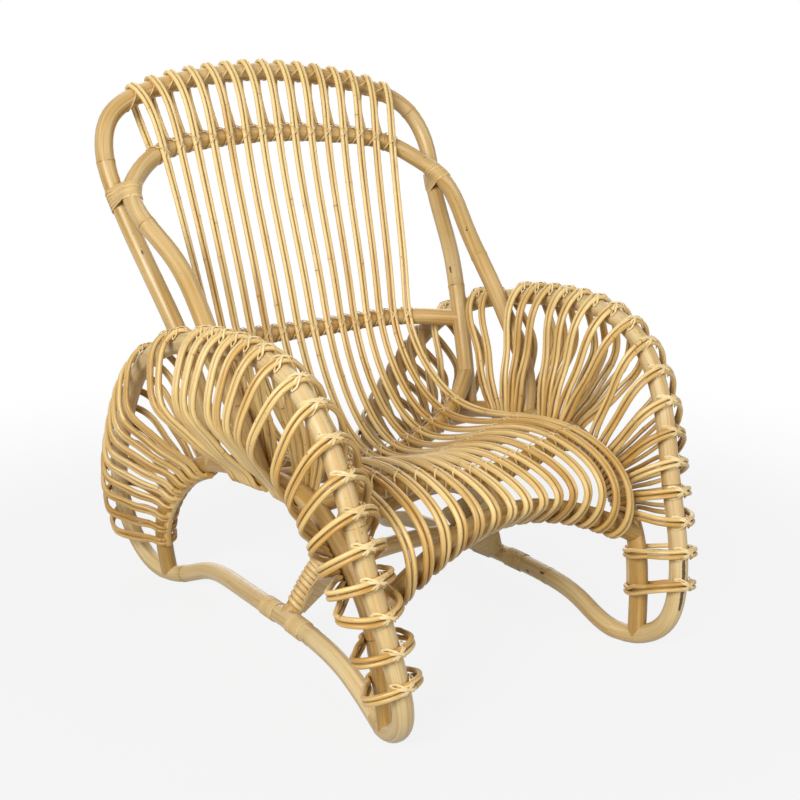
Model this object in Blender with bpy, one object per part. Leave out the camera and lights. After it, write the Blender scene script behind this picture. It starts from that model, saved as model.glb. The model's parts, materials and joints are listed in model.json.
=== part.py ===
"""Rattan lounge armchair: bent poles, paired-cane slats and looped cane arms.

Metres, +Z up. The sitter faces -Y and the sitter's left is +X. The origin is on the floor, below the
middle of the chair. Every bent pole is a smooth curve through a few points of its centre line. Pieces
that meet take their places from the same curves, so they stay seated when a size changes.
"""

import math

import bpy
import numpy as np

# Material stock
POLE_DIAMETER = 0.028
CANE_DIAMETER = 0.007
STRIP_WIDTH = 0.012
STRIP_THICKNESS = 0.0085
BINDING_WALL = 0.0022

# Clearances between pieces that touch
SEAT_GAP = 0.0003
COPE_SHORT = 0.0045
WINDING_ROOM = 0.0008
LOOP_ROOM = 0.001

# Side loops: each is one pole bent into arm, legs and runner
FOOT_SPREAD = 0.2266
ARM_SPREAD = 0.2985
SPLAY_POWER = 0.6
ARM_HEIGHT = 0.484
FRONT_FOOT_Y = -0.322
REAR_FOOT_Y = 0.299
FRONT_REACH = -0.399
FRONT_REACH_HEIGHT = 0.105
REAR_REACH = 0.399
REAR_REACH_HEIGHT = 0.125
RUNNER_HEIGHT = 0.0565
RUNNER_SPREAD = 0.21
FOOT_FLAT = 0.0012
FOOT_HALF_LENGTH = 0.016

# Inner arches under the arms
ARCH_HEIGHT = 0.2925
ARCH_SPREAD = 0.25
ARCH_FOOT_Y = -0.345

# Back hoops
OUTER_HOOP_HEIGHT = 0.8355
OUTER_HOOP_Y = 0.3291
INNER_HOOP_DROP = 0.0975
INNER_HOOP_HEIGHT = OUTER_HOOP_HEIGHT - INNER_HOOP_DROP
INNER_HOOP_Y = 0.2933
LASHING_DROP = 0.091
LASHING_HEIGHT = INNER_HOOP_HEIGHT - LASHING_DROP
LASHING_Y = 0.247
LASHING_SPREAD = 0.2995
LASHING_LENGTH = 0.034
LEG_SPREAD = 0.2695
INNER_FOOT_Y = -0.066
OUTER_FOOT_Y = 0.074

# Seat and back rails, at the middle of the chair
LUMBAR_HEIGHT = 0.4228
LUMBAR_Y = 0.1965
REAR_RAIL_HEIGHT = 0.2336
REAR_RAIL_Y = 0.0335
MIDDLE_RAIL_HEIGHT = 0.2691
MIDDLE_RAIL_Y = -0.1357
MIDDLE_RAIL_END_Y = -0.0997
FRONT_RAIL_HEIGHT = 0.2894
FRONT_RAIL_Y = -0.2566
FRONT_RAIL_END_Y = -0.2
APRON_HEIGHT = 0.248
APRON_END_HEIGHT = 0.1665
APRON_Y = -0.3011
SEAT_EDGE_Y = -0.3475

# Base between the runners
STRETCHER_Y = -0.057
STRETCHER_RISE = 0.068
PERCH_SET_BACK = 0.02
JOINT_WRAP_LENGTH = 0.07
RUNNER_BINDING_LENGTH = 0.034
RUNNER_BINDING_SET_OFF = 0.0224

# Slats: pairs of canes side by side
SLAT_COUNT = 15
SLAT_PITCH_TOP = 0.0333
SLAT_PITCH_HOOP = 0.0314
SLAT_PITCH_LUMBAR = 0.0281
SLAT_PITCH_SEAT = 0.0285
SLAT_TAIL = 0.014
SLAT_STRAIGHT = 0.82

# Arm loops: pairs of canes round a side loop and an inner arch
LOOP_BULGE_LOW = 0.036
LOOP_BULGE_TOP = 0.054
LOOP_DEPTH = 0.5
LOOP_TURNS = (-90, -45, -15, 15, 45, 90)
LOOP_PINCH = 0.75
LOOP_START_HEIGHT = 0.11
LOOP_END_HEIGHT = 0.1
LOOP_SEAT_START_HEIGHT = 0.085
LOOP_SEAT_END_HEIGHT = 0.085
LOOP_GROUPS = (2, 7, 5, 5, 5, 5)
ARM_BEND_Y = -0.273
ARM_BEND_PITCH = 0.038
ARM_TOP_Y = -0.17
ARM_TOP_PITCH = 0.034
FAN_LENGTH = 0.06
STRIP_OVERHANG = 0.009
STRIP_SPACE = 0.007

# Room left between the loops, before and after what passes through them
SLANT_LEG_ROOM = (0.036, 0.04)
UPRIGHT_LEG_ROOM = (0.029, 0.055)
APRON_ROOM = (0.026, 0.042)
FRONT_RAIL_ROOM = (0.038, 0.03)
MIDDLE_RAIL_ROOM = 0.029
OUTER_FOOT_ROOM = 0.03

# Fineness of the curves
POLE_SIDES = 8
TURN_STEP = math.radians(17.0)
SLAT_TURN_STEP = math.radians(27.0)
RUN_STEP = 0.14
SPLINE_STEPS = 24

# Worked out from the sizes above
POLE_RADIUS = POLE_DIAMETER / 2
CANE_RADIUS = CANE_DIAMETER / 2
CORNER_STRETCH = 1 / math.cos(math.pi / POLE_SIDES)
FOOT_HEIGHT = POLE_RADIUS / CORNER_STRETCH - FOOT_FLAT
TOUCH = POLE_DIAMETER + SEAT_GAP
SLAT_SEAT = POLE_RADIUS + CANE_RADIUS + SEAT_GAP
SLAT_PITCHES = {"outer": SLAT_PITCH_TOP, "inner": SLAT_PITCH_HOOP, "lumbar": SLAT_PITCH_LUMBAR}
SLAT_ROOMS = {"inner": LOOP_ROOM}
SLAT_KNEE = SLAT_PITCH_SEAT * (SLAT_COUNT // 2)
LOOP_SEAT = POLE_RADIUS + CANE_RADIUS + LOOP_ROOM

X_AXIS = np.array([1.0, 0.0, 0.0])
Z_AXIS = np.array([0.0, 0.0, 1.0])


def unit(vector):
    """The vector, or each row of vectors, at length one."""
    vector = np.asarray(vector, float)
    return vector / np.linalg.norm(vector, axis=-1, keepdims=True)


def square_to(vector, direction):
    """The part of vector that is square to direction, at length one."""
    return unit(vector - np.dot(vector, direction) * direction)


def spline(points, closed=False):
    """A natural, or closed, cubic spline through points, read at close steps."""
    points = np.array(points, float)
    if closed:
        points = np.vstack([points, points[:1]])
    gaps = np.linalg.norm(np.diff(points, axis=0), axis=1)
    slopes = np.diff(points, axis=0) / gaps[:, None]
    count = len(points)
    matrix = np.eye(count)
    right = np.zeros((count, 3))
    for i in range(1, count - 1):
        matrix[i, i - 1:i + 2] = gaps[i - 1], 2 * (gaps[i - 1] + gaps[i]), gaps[i]
        right[i] = 6 * (slopes[i] - slopes[i - 1])
    if closed:
        matrix[0, 0] = 2 * (gaps[-1] + gaps[0])
        matrix[0, 1] = gaps[0]
        matrix[0, -2] = gaps[-1]
        matrix[-1, 0] = -1
        right[0] = 6 * (slopes[0] - slopes[-1])
    bend = np.linalg.solve(matrix, right)
    share = np.linspace(0, 1, SPLINE_STEPS, endpoint=False)[:, None]
    rest = 1 - share
    curve = []
    for i, gap in enumerate(gaps):
        cubic = (rest ** 3 - rest) * bend[i] + (share ** 3 - share) * bend[i + 1]
        curve.append(rest * points[i] + share * points[i + 1] + cubic * gap * gap / 6)
    return np.vstack(curve + [points[-1:]])


def station_numbers(curve, knots, turn_step):
    """Places in a curve that share out its turning and its run evenly, with every knot kept."""
    steps = np.diff(curve, axis=0)
    ways = unit(steps)
    turns = np.arccos(np.clip(np.sum(ways[1:] * ways[:-1], axis=1), -1.0, 1.0))
    work = np.linalg.norm(steps, axis=1) / RUN_STEP
    work[1:] += turns / turn_step
    done = np.concatenate([[0.0], np.cumsum(work)])
    keep = [knots[0]]
    for near, far in zip(knots, knots[1:]):
        count = max(1, round(done[far] - done[near]))
        goals = np.linspace(done[near], done[far], count + 1)[1:-1]
        keep += [int(i) for i in np.searchsorted(done, goals)] + [far]
    return keep


class Line:
    """A centre line made of straight runs between stations."""

    def __init__(self, points):
        self.points = np.asarray(points, float)
        steps = np.diff(self.points, axis=0)
        runs = np.linalg.norm(steps, axis=1)
        self.ways = steps / runs[:, None]
        self.marks = np.concatenate([[0.0], np.cumsum(runs)])
        self.length = self.marks[-1]

    def at(self, mark):
        """The point and the direction at a distance along the line."""
        run = int(np.clip(np.searchsorted(self.marks, mark) - 1, 0, len(self.ways) - 1))
        return self.points[run] + self.ways[run] * (mark - self.marks[run]), self.ways[run]

    def passing(self, heights, after):
        """The distance at which the stations' heights over a surface change sign, beyond another."""
        for run in range(len(self.ways)):
            low, high = heights[run], heights[run + 1]
            if low * high > 0 or self.marks[run + 1] <= after:
                continue
            mark = self.marks[run] + (self.marks[run + 1] - self.marks[run]) * low / (low - high)
            if mark >= after:
                return mark
        raise ValueError("the line never passes there")

    def where(self, axis, value, after=0.0):
        """The distance at which a coordinate first passes a value, beyond a distance."""
        return self.passing(self.points[:, axis] - value, after)

    def through(self, point, normal, after):
        """The point at which the line first goes through a plane, beyond a distance."""
        return self.at(self.passing((self.points - point) @ normal, after))[0]

    def meet(self, axis, value, after=0.0):
        """The point at which a coordinate first passes a value."""
        return self.at(self.where(axis, value, after))[0]

    def between(self, first, last):
        """The stations from one distance to another, with both ends and no very short run."""
        inside = (self.marks > first + CANE_RADIUS) & (self.marks < last - CANE_RADIUS)
        return np.vstack([self.at(first)[0], self.points[inside], self.at(last)[0]])

    def mirrored(self):
        """The same line on the other side of the chair."""
        return Line(mirrored(self.points))


def bent(points, closed=False):
    """The line of a pole that is bent smoothly through points."""
    curve = spline(points, closed)
    return Line(curve[station_numbers(curve, [0, len(curve) - 1], TURN_STEP)])


def mirrored(points):
    """The same points on the other side of the chair."""
    return np.asarray(points) * np.array([-1.0, 1.0, 1.0])


def whole(half):
    """Points across the chair from its +X half, which starts at the middle."""
    half = np.asarray(half, float)
    return np.vstack([mirrored(half[:0:-1]), half])


def arching(half):
    """The line of a pole across the chair, bent smoothly through the points of its +X half."""
    curve = spline(whole(half))
    curve = curve[len(curve) // 2:]
    return Line(whole(curve[station_numbers(curve, [0, len(curve) - 1], TURN_STEP)]))


def make_material(name, colour, roughness):
    """A plain rattan finish."""
    material = bpy.data.materials.new(name)
    material.use_nodes = True
    shader = material.node_tree.nodes["Principled BSDF"]
    shader.inputs["Base Color"].default_value = (*colour, 1.0)
    shader.inputs["Roughness"].default_value = roughness
    shader.inputs["Metallic"].default_value = 0.0
    return material


def make_object(name, verts, faces, material):
    """An object from vertices and faces, shaded smooth over its rounds."""
    mesh = bpy.data.meshes.new(name)
    mesh.from_pydata([tuple(v) for v in verts], [], faces)
    mesh.shade_smooth()
    mesh.set_sharp_from_angle(angle=math.radians(50))
    mesh.materials.append(material)
    made = bpy.data.objects.new(name, mesh)
    bpy.context.scene.collection.objects.link(made)
    return made


def make_tool(name, verts, faces, material):
    """A shape that only cuts or joins another piece."""
    tool = make_object(name, verts, faces, material)
    tool.hide_render = True
    tool.display_type = "WIRE"
    tool.modifiers.new("flat_faces", "TRIANGULATE")
    return tool


def combine(made, tool, operation):
    """Cut a tool from a piece, or join it to the piece."""
    made.modifiers.new("flat_faces", "TRIANGULATE")
    change = made.modifiers.new(operation.lower(), "BOOLEAN")
    change.operation = operation
    change.solver = "EXACT"
    change.object = tool


def sweep(points, wide, section, closed=False, shares=None):
    """Vertices and faces of a section carried along points.

    wide holds the section's width direction at each point, section its (width, thickness) corners.
    The thickness is mitred, so it stays true on both sides of a bend. shares narrows the width.
    """
    points = np.asarray(points, float)
    count = len(points)
    if closed:
        ahead = unit(np.roll(points, -1, axis=0) - points)
        behind = np.roll(ahead, 1, axis=0)
    else:
        runs = unit(np.diff(points, axis=0))
        behind = np.vstack([runs[:1], runs])
        ahead = np.vstack([runs, runs[-1:]])
    along = unit(ahead + behind)
    mitre = 1 / np.sum(along * ahead, axis=1)
    wide = [square_to(w, a) for w, a in zip(wide, along)]
    thick = np.cross(along, wide)
    shares = np.ones(count) if shares is None else shares
    verts = [p + w * width * share + t * depth * m
             for p, w, t, m, share in zip(points, wide, thick, mitre, shares) for width, depth in section]
    sides = len(section)
    faces = []
    for i in range(count if closed else count - 1):
        near = i * sides
        far = (i + 1) % count * sides
        for k in range(sides):
            n = (k + 1) % sides
            faces.append((near + k, near + n, far + n, far + k))
    if not closed:
        faces.append(tuple(range(sides))[::-1])
        faces.append(tuple(range((count - 1) * sides, count * sides)))
    return verts, faces


def round_section(radius, corner_out):
    """Corners of a round pole's section, with a corner or a flat facing outward."""
    start = 0.0 if corner_out else math.pi / POLE_SIDES
    turns = [start + 2 * math.pi * k / POLE_SIDES for k in range(POLE_SIDES)]
    return [(radius * math.cos(turn), radius * math.sin(turn)) for turn in turns]


def flat_section(width, thickness):
    """Corners of a flat strip's section."""
    return [(width / 2, -thickness / 2), (width / 2, thickness / 2),
            (-width / 2, thickness / 2), (-width / 2, -thickness / 2)]


def pair_section():
    """Corners of two canes side by side, as one hexagon."""
    return [(CANE_DIAMETER, 0.0), (CANE_RADIUS, CANE_RADIUS), (-CANE_RADIUS, CANE_RADIUS),
            (-CANE_DIAMETER, 0.0), (-CANE_RADIUS, -CANE_RADIUS), (CANE_RADIUS, -CANE_RADIUS)]


def pole_mesh(line, wide, corner_out, radius, closed):
    """Vertices and faces of a round pole on a line, its section carried with no twist."""
    if closed:
        points = line.points[:-1]
        return sweep(points, [wide] * len(points), round_section(radius, corner_out), closed=True)
    widths = [wide]
    for way in line.ways:
        widths.append(square_to(widths[-1], way))
    return sweep(line.points, widths, round_section(radius, corner_out))


class Pole:
    """A round pole: its line, its object, and the tool that copes other poles onto it."""

    def __init__(self, name, line, wide, material, corner_out=True, closed=False):
        self.name = name
        self.line = line
        self.shape = (wide, corner_out, closed)
        self.made = make_object(name, *self.mesh(POLE_RADIUS), material)
        self.tool = None

    def mesh(self, radius):
        """Vertices and faces of this pole at a radius."""
        wide, corner_out, closed = self.shape
        return pole_mesh(self.line, wide, corner_out, radius, closed)

    def cope(self, *others):
        """Shape this pole's ends to seat on other poles, with the seat gap left."""
        for other in others:
            if other.tool is None:
                shape = other.mesh(POLE_RADIUS + SEAT_GAP)
                other.tool = make_tool(other.name + ".cope", *shape, other.made.data.materials[0])
            combine(self.made, other.tool, "DIFFERENCE")

    def stand(self):
        """Flatten this pole where it stands on the floor."""
        for vertex in self.made.data.vertices:
            vertex.co.z = max(vertex.co.z, 0.0)


def splay(height):
    """How far a side loop stands from the middle: a power law, quickest near the floor."""
    return FOOT_SPREAD + (ARM_SPREAD - FOOT_SPREAD) * (height / ARM_HEIGHT) ** SPLAY_POWER


def side_loop_line():
    """The +X side loop: from its front foot up the arm, down behind and along the runner."""
    arm = [
        (FRONT_REACH + 0.008, 0.048),
        (FRONT_REACH, FRONT_REACH_HEIGHT),
        (FRONT_REACH + 0.039, ARM_HEIGHT - 0.237),
        (FRONT_REACH + 0.104, ARM_HEIGHT - 0.0725),
        (FRONT_REACH + 0.154, ARM_HEIGHT - 0.0255),
        (FRONT_REACH + 0.228, ARM_HEIGHT - 0.003),
        (FRONT_REACH + 0.292, ARM_HEIGHT),
        (REAR_REACH - 0.304, ARM_HEIGHT - 0.03),
        (REAR_REACH - 0.204, ARM_HEIGHT - 0.072),
        (REAR_REACH - 0.06, ARM_HEIGHT - 0.222),
        (REAR_REACH, REAR_REACH_HEIGHT),
        (REAR_REACH - 0.026, 0.048),
    ]
    return bent([
        (FOOT_SPREAD - 0.004, FRONT_FOOT_Y + FOOT_HALF_LENGTH, FOOT_HEIGHT),
        (FOOT_SPREAD + 0.005, FRONT_FOOT_Y - FOOT_HALF_LENGTH, FOOT_HEIGHT),
        *[(splay(z), y, z) for y, z in arm],
        (FOOT_SPREAD + 0.003, REAR_FOOT_Y + FOOT_HALF_LENGTH, FOOT_HEIGHT),
        (FOOT_SPREAD - 0.008, REAR_FOOT_Y - FOOT_HALF_LENGTH, FOOT_HEIGHT),
        (RUNNER_SPREAD - 0.008, REAR_FOOT_Y - 0.088, RUNNER_HEIGHT - 0.019),
        (RUNNER_SPREAD - 0.007, REAR_FOOT_Y - 0.199, RUNNER_HEIGHT - 0.005),
        (RUNNER_SPREAD, STRETCHER_Y + 0.017, RUNNER_HEIGHT),
        (RUNNER_SPREAD + 0.004, FRONT_FOOT_Y + 0.16, RUNNER_HEIGHT - 0.003),
        (RUNNER_SPREAD + 0.007, FRONT_FOOT_Y + 0.087, RUNNER_HEIGHT - 0.017),
    ], closed=True)


def rear_foot_mark(loop):
    """Distance along a side loop to the middle of its rear foot."""
    return loop.where(1, REAR_FOOT_Y, after=loop.where(2, REAR_REACH_HEIGHT, after=loop.length / 4))


def arch_line(loop):
    """The +X inner arch, from foot to foot of its side loop."""
    front = loop.meet(1, ARCH_FOOT_Y)
    rear = loop.at(rear_foot_mark(loop))[0]
    side = [
        (ARCH_FOOT_Y + 0.006, 0.09),
        (ARCH_FOOT_Y + 0.02, 0.16),
        (ARCH_FOOT_Y + 0.081, ARCH_HEIGHT - 0.05),
        (ARCH_FOOT_Y + 0.15, ARCH_HEIGHT - 0.007),
        (ARCH_FOOT_Y + 0.233, ARCH_HEIGHT),
        (REAR_FOOT_Y - 0.31, ARCH_HEIGHT - 0.006),
        (REAR_FOOT_Y - 0.215, ARCH_HEIGHT - 0.025),
        (REAR_FOOT_Y - 0.075, ARCH_HEIGHT - 0.107),
        (REAR_FOOT_Y - 0.016, 0.1),
    ]
    lean = (ARCH_SPREAD - front[0]) / ARCH_HEIGHT
    return bent([front, *[(front[0] + lean * z, y, z) for y, z in side], rear])


def outer_hoop_line(arch):
    """The rear back hoop, which stands on the rear shoulders of the two arches."""
    foot = arch.meet(1, OUTER_FOOT_Y)
    return arching([
        (0.0, OUTER_HOOP_Y, OUTER_HOOP_HEIGHT),
        (LASHING_SPREAD - 0.1725, OUTER_HOOP_Y - 0.005, OUTER_HOOP_HEIGHT - 0.01),
        (LASHING_SPREAD - 0.0745, OUTER_HOOP_Y - 0.014, OUTER_HOOP_HEIGHT - 0.033),
        (LASHING_SPREAD - 0.0185, OUTER_HOOP_Y - 0.027, OUTER_HOOP_HEIGHT - 0.065),
        (LASHING_SPREAD + 0.0055, OUTER_HOOP_Y - 0.054, OUTER_HOOP_HEIGHT - 0.125),
        (LASHING_SPREAD, LASHING_Y, LASHING_HEIGHT),
        (LASHING_SPREAD - 0.018, LASHING_Y - 0.0755, LASHING_HEIGHT - 0.117),
        (LASHING_SPREAD - 0.0345, LASHING_Y - 0.119, LASHING_HEIGHT - 0.2),
        (LASHING_SPREAD - 0.046, foot[1] + 0.021, foot[2] + 0.088),
        foot + Z_AXIS * COPE_SHORT,
    ])


def inner_hoop_line(arch):
    """The front back hoop: it passes in front of the other, and its legs slant down to the arches."""
    foot = arch.meet(1, INNER_FOOT_Y)
    return arching([
        (0.0, INNER_HOOP_Y, INNER_HOOP_HEIGHT),
        (LASHING_SPREAD - 0.1795, INNER_HOOP_Y - 0.006, INNER_HOOP_HEIGHT - 0.006),
        (LASHING_SPREAD - 0.0695, INNER_HOOP_Y - 0.025, INNER_HOOP_HEIGHT - 0.029),
        (LASHING_SPREAD - 0.0375, INNER_HOOP_Y - 0.042, INNER_HOOP_HEIGHT - 0.049),
        (LASHING_SPREAD - 0.011, LASHING_Y - 0.0215, LASHING_HEIGHT + 0.0175),
        (LEG_SPREAD + 0.0075, LASHING_Y - 0.1215, LASHING_HEIGHT - 0.067),
        (LEG_SPREAD, foot[1] + 0.102, ARM_HEIGHT - 0.004),
        (LEG_SPREAD - 0.001, foot[1] + 0.064, ARM_HEIGHT - 0.054),
        (LEG_SPREAD - 0.001, foot[1] + 0.031, foot[2] + 0.09),
        (LEG_SPREAD - 0.008, foot[1] + 0.009, foot[2] + 0.045),
        foot + Z_AXIS * COPE_SHORT,
    ])


def ring_outline(centres, way, radius):
    """Points round one centre, or round two side by side, square to a direction."""
    axis = square_to(centres[-1] - centres[0] if len(centres) > 1 else X_AXIS, way)
    side = np.cross(way, axis)
    half = POLE_SIDES // 2
    if len(centres) == 1:
        corners = [(centres[0], math.pi * k / half) for k in range(POLE_SIDES)]
    else:
        turns = [math.pi * k / half - math.pi / 2 for k in range(half + 1)]
        corners = [(centres[1], turn) for turn in turns]
        corners += [(centres[0], turn + math.pi) for turn in turns]
    return [c + radius * (axis * math.cos(turn) + side * math.sin(turn)) for c, turn in corners]


def sleeve_mesh(centre_sets, ways, room=WINDING_ROOM):
    """Vertices and faces of a binding wound round one or two poles: an open tube."""
    inner_radius = (POLE_RADIUS + room) * CORNER_STRETCH
    verts = []
    for radius in (inner_radius, inner_radius + BINDING_WALL):
        for centres, way in zip(centre_sets, ways):
            verts += ring_outline(centres, way, radius)
    count = len(ways)
    size = len(verts) // (2 * count)
    outer = count * size
    last = outer - size
    faces = []
    for k in range(size):
        n = (k + 1) % size
        for near in range(0, last, size):
            far = near + size
            faces.append((near + k, far + k, far + n, near + n))
            faces.append((outer + near + k, outer + near + n, outer + far + n, outer + far + k))
        faces.append((k, n, outer + n, outer + k))
        faces.append((last + n, last + k, outer + last + k, outer + last + n))
    return verts, faces


def lashing_mesh(outer, inner):
    """The +X binding that holds the two hoops together where they cross."""
    start = outer.where(2, LASHING_HEIGHT + LASHING_LENGTH, after=outer.length / 2)
    inner_start = inner.where(2, LASHING_HEIGHT + LASHING_LENGTH, after=inner.length / 2)
    spot, way = outer.at(outer.where(2, LASHING_HEIGHT, after=start))
    near = inner.through(spot, way, inner_start)
    along = unit(way + inner.at(inner.where(2, near[2], after=inner_start))[1])
    middles = (spot + near) / 2 + np.outer(LASHING_LENGTH * np.linspace(-0.5, 0.5, 4), along)
    centres = [(inner.through(m, along, inner_start), outer.through(m, along, start)) for m in middles]
    return sleeve_mesh(centres, [along] * len(centres), room=3 * WINDING_ROOM)


def joint_wrap_mesh(low, high):
    """The +X fan-shaped binding round the stretcher and the under-seat arch, beside a runner."""
    reach = high.points[-1][0] - WINDING_ROOM - JOINT_WRAP_LENGTH * np.linspace(0.0, 1.0, 4)
    centres = [(low.meet(0, x), high.meet(0, x)) for x in reach]
    along = unit(np.sum(centres[-1], axis=0) - np.sum(centres[0], axis=0))
    return sleeve_mesh(centres, [along] * len(centres), room=3 * WINDING_ROOM)


def runner_binding_mesh(loop, first, last):
    """A binding round the runner, between two distances along its loop."""
    marks = np.linspace(first, last, 3)
    spots = [loop.at(mark) for mark in marks]
    return sleeve_mesh([(point,) for point, _ in spots], [way for _, way in spots])


class Seat:
    """The place where a slat crosses a rail, level over the slat's width."""

    def __init__(self, line, offset):
        mark = line.where(0, offset)
        near, far = line.at(mark - CANE_DIAMETER)[0], line.at(mark + CANE_DIAMETER)[0]
        self.across = unit(far - near) * math.copysign(1.0, far[0] - near[0])
        self.middle = (near + far) / 2
        self.crown = line.at(mark)[0] - self.middle

    def off(self, lean, distance):
        """The point at a distance from the rail's centre, to the side that lean points to."""
        lean = square_to(lean, self.across)
        return self.middle + lean * (distance + max(0.0, np.dot(self.crown, lean)))


def slat_curve(index, rails):
    """Centre curve and width directions of one slat, from its tail behind the back to the apron.

    It rises behind the front hoop, turns over the rear hoop, comes down in front of the front hoop
    and the lumbar rail, lies on the three seat rails, and turns down and back under the apron.
    """
    pitches = {name: SLAT_PITCHES.get(name, SLAT_PITCH_SEAT) for name in rails}
    seats = {name: Seat(line, index * pitches[name]) for name, line in rails.items()}
    rise = square_to(seats["outer"].middle - seats["inner"].middle, X_AXIS)
    front = np.cross(X_AXIS, rise)
    corner = SLAT_SEAT * CORNER_STRETCH
    points = [seats["inner"].off(-front, SLAT_SEAT + LOOP_ROOM) - rise * SLAT_TAIL]
    for turn in np.radians([157.5, 112.5, 67.5, 22.5]):
        points.append(seats["outer"].off(front * math.cos(turn) + rise * math.sin(turn), corner))
    lip = seats["front"].middle[2] + seats["apron"].middle[2]
    ending = [np.array([seats["front"].middle[0], SEAT_EDGE_Y, lip / 2])]
    for turn in np.radians([40.0, 80.0, 120.0]):
        ending.append(seats["apron"].off(np.array([0.0, -math.cos(turn), -math.sin(turn)]), corner))
    crossed = ["inner", "lumbar", "rear", "middle", "front"]
    knots = (len(points) + np.array([0, 2, 3, 4, 5])) * SPLINE_STEPS
    depths = [SLAT_SEAT + SLAT_ROOMS.get(name, 0.0) for name in crossed]
    leans = [front, front, Z_AXIS, Z_AXIS, Z_AXIS]
    for _ in range(5):
        seated = [seats[name].off(lean, depth) for name, lean, depth in zip(crossed, leans, depths)]
        straight = seated[0] + SLAT_STRAIGHT * (seated[1] - seated[0])
        curve = spline(points + seated[:1] + [straight] + seated[1:] + ending)
        leans = np.cross(X_AXIS, unit(curve[knots - 1] - curve[knots + 1]))
    order = ["inner"] + ["outer"] * 4 + ["inner", "lumbar"] + crossed[1:] + ["front"] + ["apron"] * 3
    return curve, np.array([seats[name].across for name in order])


def slat_mesh(index, rails):
    """Vertices and faces of one slat."""
    curve, wide = slat_curve(index, rails)
    knots = list(range(0, len(curve), SPLINE_STEPS))
    keep = station_numbers(curve, knots, SLAT_TURN_STEP)
    widths = np.stack([np.interp(keep, knots, wide[:, axis]) for axis in range(3)], axis=1)
    return sweep(curve[keep], widths, pair_section())


def side_frame(line, mark):
    """Point, direction, outward normal and sideways direction of a side loop or an arch."""
    point, way = line.at(mark)
    side = square_to(X_AXIS, way)
    return point, way, np.cross(side, way), side


def loop_mesh(loop, loop_mark, arch, arch_mark):
    """Vertices and faces of one arm loop.

    Half an oval over the outside of the side loop, narrowing to a snug square turn behind the arch.
    """
    pole, way, out, side = side_frame(loop, loop_mark)
    seat, arch_way, arch_out, arch_side = side_frame(arch, arch_mark)
    bulge = LOOP_BULGE_LOW + (LOOP_BULGE_TOP - LOOP_BULGE_LOW) * pole[2] / ARM_HEIGHT
    crown = pole + out * LOOP_SEAT
    depth = (seat - crown) * LOOP_DEPTH
    depth = depth - side * np.dot(depth, side)
    points = []
    turns = np.radians(LOOP_TURNS)
    flat = math.cos(np.min(np.abs(turns)))
    for turn in turns:
        points.append(crown + depth * (flat - math.cos(turn)) + side * bulge * math.sin(turn))
    for back, across in ((0.1, 1.12), (1.08, 0.6), (1.08, -0.6), (0.1, -1.12)):
        points.append(seat + LOOP_SEAT * (arch_side * across - arch_out * back))
    band = flat_section(2 * CANE_DIAMETER, CANE_DIAMETER)
    shares = [1.0] * len(turns) + [LOOP_PINCH] * 4
    return sweep(points, [way] * len(turns) + [arch_way] * 4, band, closed=True, shares=shares)


def strip_mesh(arch, first, last):
    """Vertices and faces of the half-round strip that covers the ends of a group of loops."""
    points = arch.between(first, last)
    ends = Line(points).ways
    behind = np.vstack([ends[:1], ends])
    ahead = np.vstack([ends, ends[-1:]])
    sides = [square_to(X_AXIS, way) for way in unit(behind + ahead)]
    normals = np.cross(sides, unit(behind + ahead))
    mitre = 1 / np.sum(unit(behind + ahead) * ahead, axis=1)
    depth = POLE_RADIUS + SEAT_GAP + STRIP_THICKNESS / 2
    middles = points - normals * (depth * mitre)[:, None]
    return sweep(middles, sides, flat_section(STRIP_WIDTH, STRIP_THICKNESS))


def loop_marks(loop, arch, outer, inner):
    """Distances along the side loop and along the arch for the loops of one arm, front to rear.

    The loops leave room where a hoop's leg passes through the arm and where poles meet the arch.
    """
    upright = outer.meet(2, ARM_HEIGHT - POLE_DIAMETER, after=outer.length / 2)[1]
    end = loop.where(2, LOOP_END_HEIGHT, after=loop.where(1, upright))
    slant = inner.meet(2, ARM_HEIGHT - POLE_RADIUS, after=inner.length / 2)[1]
    bend = loop.where(1, ARM_BEND_Y, after=loop.where(2, LOOP_START_HEIGHT))
    on_loop = [
        (loop.where(2, LOOP_START_HEIGHT), bend, 9),
        (bend + ARM_BEND_PITCH, loop.where(1, ARM_TOP_Y), 3),
        (loop.where(1, ARM_TOP_Y + ARM_TOP_PITCH), loop.where(1, slant - SLANT_LEG_ROOM[0]), 5),
        (loop.where(1, slant + SLANT_LEG_ROOM[1]), loop.where(1, upright - UPRIGHT_LEG_ROOM[0]), 2),
        (loop.where(1, upright + UPRIGHT_LEG_ROOM[1]), end, 10),
    ]
    apron = arch.where(2, APRON_END_HEIGHT)
    front = arch.where(1, FRONT_RAIL_END_Y)
    middle = arch.where(1, MIDDLE_RAIL_END_Y)
    foot = arch.where(1, outer.points[-1][1])
    end = arch.where(2, LOOP_SEAT_END_HEIGHT, after=foot)
    on_arch = [
        (arch.where(2, LOOP_SEAT_START_HEIGHT), apron - APRON_ROOM[0], 2),
        (apron + APRON_ROOM[1], front - FRONT_RAIL_ROOM[0], 7),
        (front + FRONT_RAIL_ROOM[1], middle - MIDDLE_RAIL_ROOM, 5),
        (middle + MIDDLE_RAIL_ROOM, middle + MIDDLE_RAIL_ROOM + FAN_LENGTH, 5),
        (foot + OUTER_FOOT_ROOM, end, 10),
    ]
    return [np.concatenate([np.linspace(*run) for run in runs]) for runs in (on_loop, on_arch)]


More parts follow.
